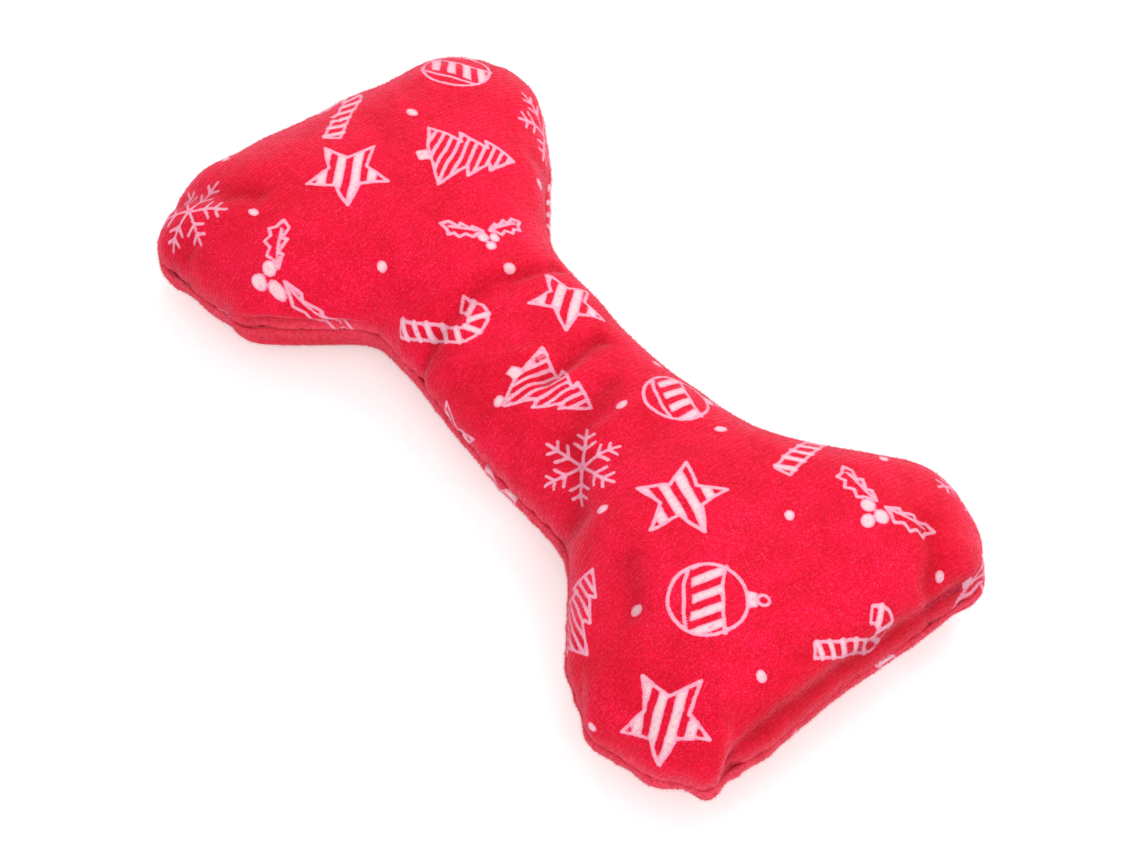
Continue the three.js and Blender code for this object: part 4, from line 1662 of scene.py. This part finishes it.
def smoothed(values: np.ndarray, quads: np.ndarray, rounds: int) -> np.ndarray:
    """Evens out values over a quad mesh.

    Args:
        values: One row a point.
        quads: The mesh's quads.
        rounds: How often each point takes the middle of its own and its neighbours' values.

    Returns:
        The evened values.
    """
    starts = quads.ravel()
    ends = np.roll(quads, -1, axis=1).ravel()
    links = np.concatenate([starts, ends]), np.concatenate([ends, starts])
    count = np.maximum(np.bincount(links[0], minlength=len(values)), 1)[:, None]
    for _ in range(rounds):
        total = np.stack([np.bincount(links[0], column[links[1]], len(values)) for column in values.T], 1)
        values = lerp(values, total / count, 0.5)
    return values


@dataclass(frozen=True)
class Settled:
    """How far the simulated cloth of one side moved, at points of its coarse mesh."""

    points: np.ndarray
    moves: np.ndarray
    reach: float = 3.0

    def at(self, places: np.ndarray, quads: np.ndarray) -> np.ndarray:
        """Spreads the moves over a finer mesh of the same side.

        Args:
            places: The finer mesh's points.
            quads: Its quads.

        Returns:
            The move at each point.
        """
        tree = kdtree.KDTree(len(self.points))
        for number, point in enumerate(self.points):
            tree.insert(point, number)
        tree.balance()
        found = [tree.find_n(place, 5) for place in places]
        near = np.array([[hit[1] for hit in hits] for hits in found])
        weight = np.exp(-((np.array([[hit[2] for hit in hits] for hits in found]) / self.reach) ** 2))
        moves = np.sum(self.moves[near] * weight[:, :, None], 1) / np.sum(weight, 1)[:, None]
        return smoothed(moves, quads, 10)


@dataclass(frozen=True)
class Settling:
    """Cloth simulation of both covers, sewn at the seam and filled, which brings out their small folds."""

    side_cells: int = 96
    end_cells: int = 44
    wall_rows: int = 8
    units: float = 0.02
    frames: int = 14
    pressure: float = 6.0
    slack: float = -0.07
    slack_reach: float = 26.0
    limit: float = 1.5
    strength: float = 1.4

    def mesh(self) -> tuple[np.ndarray, np.ndarray, np.ndarray, np.ndarray, int]:
        """Sews both covers as one coarse mesh.

        Returns:
            The points, the quads, each point's slack and pin, and how many points the top has.
        """
        body = BoneBody(BoneOutline(side_cells=self.side_cells, end_cells=self.end_cells))
        points, faces, slack, pins = [], [], [], []
        first = 0
        for side in Side:
            shape = CoverShape(body, side, wall_rows=self.wall_rows, roll_rows=1)
            places, quads, index, share = shape.skin()
            wall = np.minimum(share, 1.0)
            below = body.cloth_reach(side, index, np.ones(len(index)))
            below -= body.cloth_reach(side, index, wall)
            slack.append(1 - smoothstep(below, 0, self.slack_reach))
            resting = share <= body.rest_share + 0.05 if side is Side.BOTTOM else share < 0
            pins.append(resting | (share > 1.5))
            numbers = first + np.arange(len(places))
            if side is Side.BOTTOM:
                numbers[shape.last_loop] = seam
                quads = quads[:, ::-1]
            else:
                seam = numbers[shape.last_loop]
            points.append(places)
            faces.append(numbers[quads])
            first += len(places)
        slack, pins = np.concatenate(slack), np.concatenate(pins)
        return np.vstack(points), np.vstack(faces), slack, pins, len(points[0])

    def run(self) -> dict[Side, Settled]:
        """Runs the simulation.

        Returns:
            The moves of each side, in millimetres, without the broad swelling.
        """
        points, quads, slack, pins, top = self.mesh()
        scale = self.units / MM
        thing = mesh_object("settling", points * scale, [quads], [])
        for name, weights in (("slack", slack), ("seam", pins.astype(float))):
            group = thing.vertex_groups.new(name=name)
            for number in np.where(weights > 0)[0]:
                group.add([int(number)], float(weights[number]), "REPLACE")
        cloth = thing.modifiers.new("cloth", "CLOTH").settings
        cloth.quality, cloth.mass, cloth.air_damping = 6, 0.15, 2.0
        cloth.tension_stiffness = cloth.compression_stiffness = 25.0
        cloth.shear_stiffness, cloth.bending_stiffness = 8.0, 0.35
        cloth.use_pressure, cloth.uniform_pressure_force = True, self.pressure
        cloth.vertex_group_mass, cloth.vertex_group_shrink = "seam", "slack"
        cloth.shrink_min, cloth.shrink_max = 0.0, self.slack
        cloth.effector_weights.gravity = 0.0
        scene = bpy.context.scene
        for number in range(1, self.frames + 1):
            scene.frame_set(number)
        graph = bpy.context.evaluated_depsgraph_get()
        settled = np.empty(len(points) * 3, np.float32)
        thing.evaluated_get(graph).data.vertices.foreach_get("co", settled)
        moves = settled.reshape(-1, 3) / self.units - points
        scene.frame_set(1)
        bpy.data.objects.remove(thing)
        moves -= smoothed(moves, quads, 60)
        moves[pins] = 0.0
        size = np.linalg.norm(moves, axis=1)[:, None]
        moves *= self.strength * self.limit * np.tanh(size / self.limit) / np.maximum(size, TINY)
        LOG.info("cloth settled: %d points, moved %.2f mm at most", len(points), size.max())
        return {Side.TOP: Settled(points[:top], moves[:top]), Side.BOTTOM: Settled(points[top:], moves[top:])}


def grown(
    thing: bpy.types.Object, tree: bpy.types.NodeTree, values: dict[str, object], name: str,
) -> bpy.types.Object:
    """Runs a geometry tree on an object and keeps the result as a plain mesh.

    Args:
        thing: The object that the tree starts from.
        tree: The geometry tree.
        values: The tree's named inputs.
        name: The new piece's name.

    Returns:
        The new object.
    """
    modifier = thing.modifiers.new("grow", "NODES")
    modifier.node_group = tree
    for item in tree.interface.items_tree:
        if item.in_out == "INPUT" and item.name in values:
            modifier[item.identifier] = values[item.name]
    bpy.context.view_layer.update()
    graph = bpy.context.evaluated_depsgraph_get()
    mesh = bpy.data.meshes.new_from_object(
        thing.evaluated_get(graph), preserve_all_data_layers=True, depsgraph=graph,
    )
    mesh.name = name
    thing.modifiers.remove(modifier)
    return new_object(name, mesh)


def geometry_tree(
    name: str, inputs: dict[str, tuple[str, object]],
) -> tuple[NodePlan, bpy.types.NodeOutputs]:
    """Starts a geometry tree.

    Args:
        name: The tree's name.
        inputs: For each named input its socket type and first value.

    Returns:
        The plan of its nodes, and the outputs of its input node.
    """
    tree = bpy.data.node_groups.new(name, "GeometryNodeTree")
    tree.interface.new_socket("Geometry", in_out="INPUT", socket_type="NodeSocketGeometry")
    tree.interface.new_socket("Geometry", in_out="OUTPUT", socket_type="NodeSocketGeometry")
    for label, (kind, value) in inputs.items():
        socket = tree.interface.new_socket(label, in_out="INPUT", socket_type=kind)
        socket.default_value = value
    plan = NodePlan(tree)
    return plan, plan.add("NodeGroupInput").outputs


@dataclass
class Pile:
    """Loose ends of the velour's pile that stand up from a cover."""

    density: float = 1.55e6
    length: float = 0.75
    width: float = 0.10
    lean: float = 0.9
    shortest: float = 0.5
    longest: float = 1.15
    seed: int = 31

    def tree(self, material: bpy.types.Material) -> bpy.types.NodeTree:
        """Makes the tree that scatters the fibres.

        Args:
            material: The fibres' material.

        Returns:
            The tree.
        """
        plan, given = geometry_tree("velour_pile", {
            "Density": ("NodeSocketFloat", 1e6), "Length": ("NodeSocketFloat", 0.0008),
            "Width": ("NodeSocketFloat", 0.0001), "Seed": ("NodeSocketInt", 0),
        })
        seed = given["Seed"]
        share = plan.add("GeometryNodeInputNamedAttribute", {"Name": "pile"}, data_type="FLOAT").outputs[0]
        dense = plan.math("MULTIPLY", given["Density"], share)
        spread = plan.add("GeometryNodeDistributePointsOnFaces", {
            "Mesh": given["Geometry"], "Density": dense, "Seed": seed,
        })
        lean = plan.add("FunctionNodeRandomValue", {
            "Min": (-self.lean,) * 3, "Max": (self.lean,) * 3, "Seed": seed,
        }, data_type="FLOAT_VECTOR").outputs[0]
        aim = plan.vectors("ADD", {0: spread.outputs["Normal"], 1: lean})
        turn = plan.add("FunctionNodeAlignRotationToVector", {"Vector": aim}, axis="Z").outputs[0]
        blade = plan.add("GeometryNodeMeshCone", {
            "Vertices": 3, "Radius Top": 0.0, "Radius Bottom": given["Width"], "Depth": given["Length"],
        }, fill_type="NGON")
        size = plan.add("FunctionNodeRandomValue", {
            2: self.shortest, 3: self.longest, "Seed": seed,
        }, data_type="FLOAT").outputs[1]
        return plan.scatter(spread.outputs["Points"], blade.outputs["Mesh"], turn, size, material)

    def build(self, cover: bpy.types.Object, tree: bpy.types.NodeTree, name: str) -> bpy.types.Object:
        """Makes the pile of a cover.

        Args:
            cover: The cover.
            tree: The tree that scatters the fibres.
            name: The new piece's name.

        Returns:
            The fibres as one piece.
        """
        return grown(cover, tree, {
            "Density": self.density, "Length": self.length * MM, "Width": self.width * MM / 2,
            "Seed": self.seed,
        }, name)


@dataclass
class Stitching:
    """A run of stitches in the seam."""

    node: str
    piece: str
    pitch: float
    length: float
    thickness: float
    slant: float

    @staticmethod
    def tree(material: bpy.types.Material) -> bpy.types.NodeTree:
        """Makes the tree that lays stitches along a path.

        Args:
            material: The thread's material.

        Returns:
            The tree.
        """
        plan, given = geometry_tree("stitch_run", {
            "Pitch": ("NodeSocketFloat", 0.003), "Stitch Length": ("NodeSocketFloat", 0.0026),
            "Thickness": ("NodeSocketFloat", 0.0006), "Slant": ("NodeSocketFloat", 0.0),
        })
        path = plan.add("GeometryNodeMeshToCurve", {"Mesh": given["Geometry"]}).outputs[0]
        even = plan.add("GeometryNodeResampleCurve", {"Curve": path, "Length": given["Pitch"]}, mode="LENGTH")
        tangent = plan.add("GeometryNodeInputTangent").outputs[0]
        flat = plan.vectors("SCALE", {0: tangent, "Scale": plan.math("COSINE", given["Slant"])})
        rise = plan.vector(0.0, 0.0, plan.math("SINE", given["Slant"]))
        aim = plan.vectors("ADD", {0: flat, 1: rise})
        turn = plan.add("FunctionNodeAlignRotationToVector", {"Vector": aim}, axis="Z").outputs[0]
        bead = plan.add("GeometryNodeMeshUVSphere", {"Segments": 8, "Rings": 6, "Radius": 0.5}).outputs[0]
        size = plan.vector(given["Thickness"], given["Thickness"], given["Stitch Length"])
        return plan.scatter(even.outputs[0], bead, turn, size, material)

    def build(self, path: np.ndarray, tree: bpy.types.NodeTree) -> bpy.types.Object:
        """Lays the stitches along a path.

        Args:
            path: The path's points.
            tree: The tree that lays stitches.

        Returns:
            The stitches as one piece.
        """
        mesh = bpy.data.meshes.new("path")
        edges = [(point, point + 1) for point in range(len(path) - 1)]
        mesh.from_pydata((path * MM).tolist(), edges, [])
        carrier = new_object("path", mesh)
        made = grown(carrier, tree, {
            "Pitch": self.pitch * MM, "Stitch Length": self.length * MM,
            "Thickness": self.thickness * MM, "Slant": self.slant,
        }, self.piece)
        bpy.data.objects.remove(carrier)
        shade_smooth(made.data)
        return made


def revolved(
    name: str, profile: list[tuple[float, float]], sides: int, materials: list[bpy.types.Material],
) -> bpy.types.Object:
    """Turns a closed profile about the vertical.

    Args:
        name: The piece's name.
        profile: Points of radius and height, counterclockwise seen with the axis on the left.
        sides: How many steps make a full turn.
        materials: The piece's materials.

    Returns:
        The new object.
    """
    turns = np.linspace(0, 2 * math.pi, sides, endpoint=False)
    line = np.array(profile)
    radius, height = line[:, None, 0], np.repeat(line[:, None, 1], sides, 1)
    points = np.stack([radius * np.cos(turns), radius * np.sin(turns), height], -1).reshape(-1, 3)
    rows = np.arange(len(line) * sides).reshape(len(line), sides)
    after = np.roll(rows, -1, axis=0)
    faces = np.stack([rows, np.roll(rows, -1, axis=1), np.roll(after, -1, axis=1), after], -1).reshape(-1, 4)
    return mesh_object(name, points, [faces], materials)


@dataclass
class Squeaker:
    """The bellows of the squeaker bulb, in finer folds than the solid's."""

    floor: float = 5.0
    low: float = 5.6
    high: float = 14.7
    radius: float = 15.5
    wall: float = 0.8
    folds: int = 3
    fold_depth: float = 2.2
    fold_sharpness: float = 1.3
    rows_per_fold: int = 14
    sides: int = 96

    def bellows(self, material: bpy.types.Material) -> bpy.types.Object:
        """Makes the folded side wall.

        Args:
            material: The bulb's material.

        Returns:
            The side wall as one piece.
        """
        count = self.folds * self.rows_per_fold
        outer = []
        for step in range(count + 1):
            share = step / count
            fold = 0.5 - 0.5 * math.cos(2 * math.pi * share * self.folds)
            radius = self.radius - self.fold_depth * fold**self.fold_sharpness
            outer.append((radius, self.floor + lerp(self.low, self.high, share)))
        inner = [(radius - self.wall, height) for radius, height in reversed(outer)]
        return revolved("squeaker_bellows_folds", outer + inner, self.sides, [material])


@dataclass
class Wad:
    """A wad of fibre filling, lumpier than its solid and kept inside it."""

    node: str
    piece: str
    voxel: float = 2.2
    sink: float = 0.9
    lump: float = 7.0
    small_lump: float = 4.0
    seed: int = 41

    def evened(self) -> bpy.types.Object:
        """Copies the wad's solid in even cells and rounds its edges.

        Returns:
            The copy.
        """
        thing = new_object(self.piece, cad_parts[self.node].data.copy())
        weld = thing.modifiers.new("weld", "WELD")
        weld.merge_threshold = 1e-5
        remesh = thing.modifiers.new("remesh", "REMESH")
        remesh.mode, remesh.voxel_size = "VOXEL", self.voxel * MM
        smooth = thing.modifiers.new("smooth", "SMOOTH")
        smooth.factor, smooth.iterations = 0.5, 6
        graph = bpy.context.evaluated_depsgraph_get()
        bpy.context.view_layer.update()
        final = bpy.data.meshes.new_from_object(thing.evaluated_get(graph))
        thing.modifiers.clear()
        thing.data = final
        final.name = self.piece
        return thing

    def build(self, material: bpy.types.Material) -> bpy.types.Object:
        """Makes the wad.

        Args:
            material: The filling's material.

        Returns:
            The wad as one piece.
        """
        thing = self.evened()
        final = thing.data
        points = np.empty(len(final.vertices) * 3, np.float32)
        normals = np.empty_like(points)
        final.vertices.foreach_get("co", points)
        final.vertices.foreach_get("normal", normals)
        points, normals = points.reshape(-1, 3) / MM, normals.reshape(-1, 3)
        noise = SoftNoise(self.seed)
        lumps = noise.at(points[:, :2] + points[:, 2:] * 0.7, self.lump)
        lumps += 0.5 * noise.at(points[:, 1:] + points[:, :1], self.small_lump)
        points -= normals * (self.sink * (0.75 + 0.5 * lumps))[:, None]
        final.vertices.foreach_set("co", (points * MM).astype(np.float32).ravel())
        shade_smooth(final)
        final.materials.clear()
        final.materials.append(material)
        final.update()
        return thing


@dataclass
class Studio:
    """Camera, floor and lamps."""

    azimuth: float = 52.2
    elevation: float = 53.38
    distance: float = 683.0
    target: tuple[float, float, float] = (11.63, -4.59, 14.88)
    lens: float = 85.0
    sensor: float = 36.0
    floor_reach: float = 3000.0
    floor_glow: float = 0.42
    room_light: float = 0.78

    def directions(self) -> tuple[Vector, Vector, Vector]:
        """Finds how the camera stands.

        Returns:
            The camera's backward, right and up directions.
        """
        turn, rise = math.radians(self.azimuth), math.radians(self.elevation)
        back = Vector((math.sin(turn) * math.cos(rise), -math.cos(turn) * math.cos(rise), math.sin(rise)))
        right = Vector((math.cos(turn), math.sin(turn), 0.0))
        return back, right, back.cross(right)

    def camera(self) -> None:
        """Places the camera."""
        lens = bpy.data.cameras.new("camera")
        lens.lens, lens.sensor_width = self.lens, self.sensor
        lens.clip_start, lens.clip_end = 0.02, 20.0
        camera = new_object("camera", lens)
        back = self.directions()[0]
        camera.location = Vector(self.target) * MM + back * self.distance * MM
        camera.rotation_mode = "QUATERNION"
        camera.rotation_quaternion = (-back).to_track_quat("-Z", "Y")
        bpy.context.scene.camera = camera

    def floor(self) -> None:
        """Lays the white floor."""
        material, plan = new_material("white_paper")
        grain = plan.noise(plan.place(), 400, 2.0)
        paper = plan.mix(plan.ease(grain, 0.3, 0.7), colour(0.80, 0.80, 0.80), colour(0.83, 0.83, 0.83))
        matt = plan.add("ShaderNodeBsdfDiffuse", {"Color": paper}).outputs[0]
        fed = {"Color": colour(1, 1, 1), "Strength": self.floor_glow}
        glow = plan.add("ShaderNodeEmission", fed).outputs[0]
        seen = plan.add("ShaderNodeLightPath").outputs["Is Camera Ray"]
        lit = plan.add("ShaderNodeAddShader", {0: matt, 1: glow}).outputs[0]
        both = plan.add("ShaderNodeMixShader", {0: seen, 1: matt, 2: lit}).outputs[0]
        plan.add("ShaderNodeOutputMaterial", {"Surface": both})
        corners = np.array([(-1, -1, 0), (1, -1, 0), (1, 1, 0), (-1, 1, 0)]) * self.floor_reach
        paper_floor = mesh_object("floor", corners, [np.array([[0, 1, 2, 3]])], [material])

    def lamp(self, name: str, place: tuple[float, float, float], size: float, power: float) -> None:
        """Hangs a soft square lamp.

        Args:
            name: The lamp's name.
            place: Shares of the camera's right, the camera's forward and the vertical, in metres.
            size: The lamp's width in metres.
            power: Its power in watts.
        """
        back, right, _ = self.directions()
        forward = Vector((-back.x, -back.y, 0)).normalized()
        light = bpy.data.lights.new(name, "AREA")
        light.energy, light.size = power, size
        thing = new_object(name, light)
        thing.location = right * place[0] + forward * place[1] + Vector((0, 0, place[2]))
        thing.rotation_mode = "QUATERNION"
        thing.rotation_quaternion = (-thing.location).to_track_quat("-Z", "Y")

    def world(self) -> None:
        """Fills the room with even light, white where the camera sees it."""
        world = bpy.data.worlds.new("room")
        world.use_nodes = True
        bpy.context.scene.world = world
        plan = NodePlan(world.node_tree)
        path = plan.add("ShaderNodeLightPath")
        seen = plan.math("MAXIMUM", path.outputs["Is Camera Ray"], path.outputs["Is Glossy Ray"])
        seen = plan.math("MAXIMUM", seen, path.outputs["Is Transmission Ray"])
        strength = plan.math("MULTIPLY", seen, 1 - self.room_light)
        strength = plan.math("ADD", strength, self.room_light)
        room = plan.add("ShaderNodeBackground", {"Color": colour(1, 1, 1), "Strength": strength})
        plan.add("ShaderNodeOutputWorld", {"Surface": room.outputs[0]})

    def build(self) -> None:
        """Sets up the studio."""
        self.camera()
        self.floor()
        self.world()
        self.lamp("key", (0.55, 1.0, 1.0), 1.2, 10.5)
        self.lamp("fill", (0.3, -1.15, 0.8), 1.2, 6.0)
        bpy.context.scene.view_settings.view_transform = "Standard"


@dataclass
class DogToy:
    """The whole toy: covers, seams, filling and squeaker."""

    pressed_from: float = 14.5
    pressed_to: float = 27.0
    body: BoneBody = field(default_factory=lambda: BoneBody(BoneOutline()))

    def press(self, thing: bpy.types.Object) -> None:
        """Bakes a soft piece's placing into its mesh."""
        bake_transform(thing)

    def report(self, thing: bpy.types.Object) -> None:
        """Logs a finished piece."""
        LOG.info("%s: %d faces", thing.name, len(thing.data.polygons))

    def covers(self) -> None:
        """Makes both velour covers and their pile."""
        velour, backing = VelourFinish().build(), BackingFinish().build()
        pile_tree = Pile().tree(velour)
        settled = Settling().run()
        for side, node, motifs in (
            (Side.TOP, "top_cover", top_motifs()), (Side.BOTTOM, "bottom_cover", bottom_motifs()),
        ):
            shape = CoverShape(self.body, side)
            cover = Cover(shape, node, VelourPrint(motifs), [velour, backing]).build(settled)
            pile = Pile().build(cover, pile_tree, node.replace("cover", "pile"))
            for thing in (cover, pile):
                if side is Side.TOP:
                    self.press(thing)
                else:
                    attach(thing, "toy")
                self.report(thing)
            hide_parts(node)

    def seams(self) -> None:
        """Sews the machine seam and the closing stitches."""
        outline, body = self.body.outline, self.body
        tree = Stitching.tree(ThreadFinish().build())
        gather = body.gathers(Side.TOP, outline.along, np.zeros(outline.count))
        seat = outline.rim - outline.outward * (1.15 + 0.8 * gather)[:, None]
        path = np.column_stack([seat, body.seam_height + body.seam_lift(outline.along)])
        closing = (np.abs(outline.rim[:, 0]) < body.closing_half) & (outline.rim[:, 1] < 0)
        first = int(np.where(closing & ~np.roll(closing, 1))[0][0])
        order = np.roll(np.arange(outline.count), -first)
        run = int(closing.sum())
        by_hand = Stitching("closing_thread", "closing_stitches", body.closing_pitch, 1.5, 0.42, 1.25)
        by_machine = Stitching("seam_thread", "seam_stitches", 3.0, 2.7, 0.5, 0.06)
        for stitching, part in ((by_hand, order[2:run - 2]), (by_machine, order[run + 2:-2])):
            thing = stitching.build(path[part], tree)
            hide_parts(stitching.node)
            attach(thing, "toy")
            self.report(thing)

    def filling(self) -> None:
        """Stuffs the toy."""
        fibre = FibreFinish().build()
        for place in ("left_end", "right_end", "above_squeaker", "below_squeaker"):
            node = "stuffing_" + place
            thing = Wad(node, node.replace("stuffing", "fibre")).build(fibre)
            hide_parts(node)
            if place == "below_squeaker":
                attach(thing, "toy")
            else:
                self.press(thing)
            self.report(thing)

    def squeaker(self) -> None:
        """Dresses the squeaker and its reed."""
        bulb = BulbFinish().build()
        reed = ReedFinish("reed_plastic", colour(0.88, 0.88, 0.87), colour(0.80, 0.80, 0.78), 0.18).build()
        film = ReedFinish("reed_film", colour(0.70, 0.54, 0.20), colour(0.60, 0.42, 0.12), 0.12).build()
        bellows = Squeaker().bellows(bulb)
        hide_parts("squeaker_bellows")
        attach(bellows, "toy")
        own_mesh(bellows)
        self.report(bellows)
        for material, nodes in (
            (bulb, ("squeaker_base", "squeaker_crown")), (reed, ("reed_plug", "reed_shallot", "reed_wedge")),
            (film, ("reed_tongue",)),
        ):
            for node in nodes:
                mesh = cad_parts[node].data
                mesh.materials.clear()
                mesh.materials.append(material)

    def build(self) -> None:
        """Builds every piece."""
        self.covers()
        self.seams()
        self.filling()
        self.squeaker()


def main() -> None:
    """Builds the studio and the toy."""
    logging.basicConfig(level=logging.INFO, format="%(name)s %(message)s")
    Studio().build()
    DogToy().build()


if __name__ == "__main__":
    main()
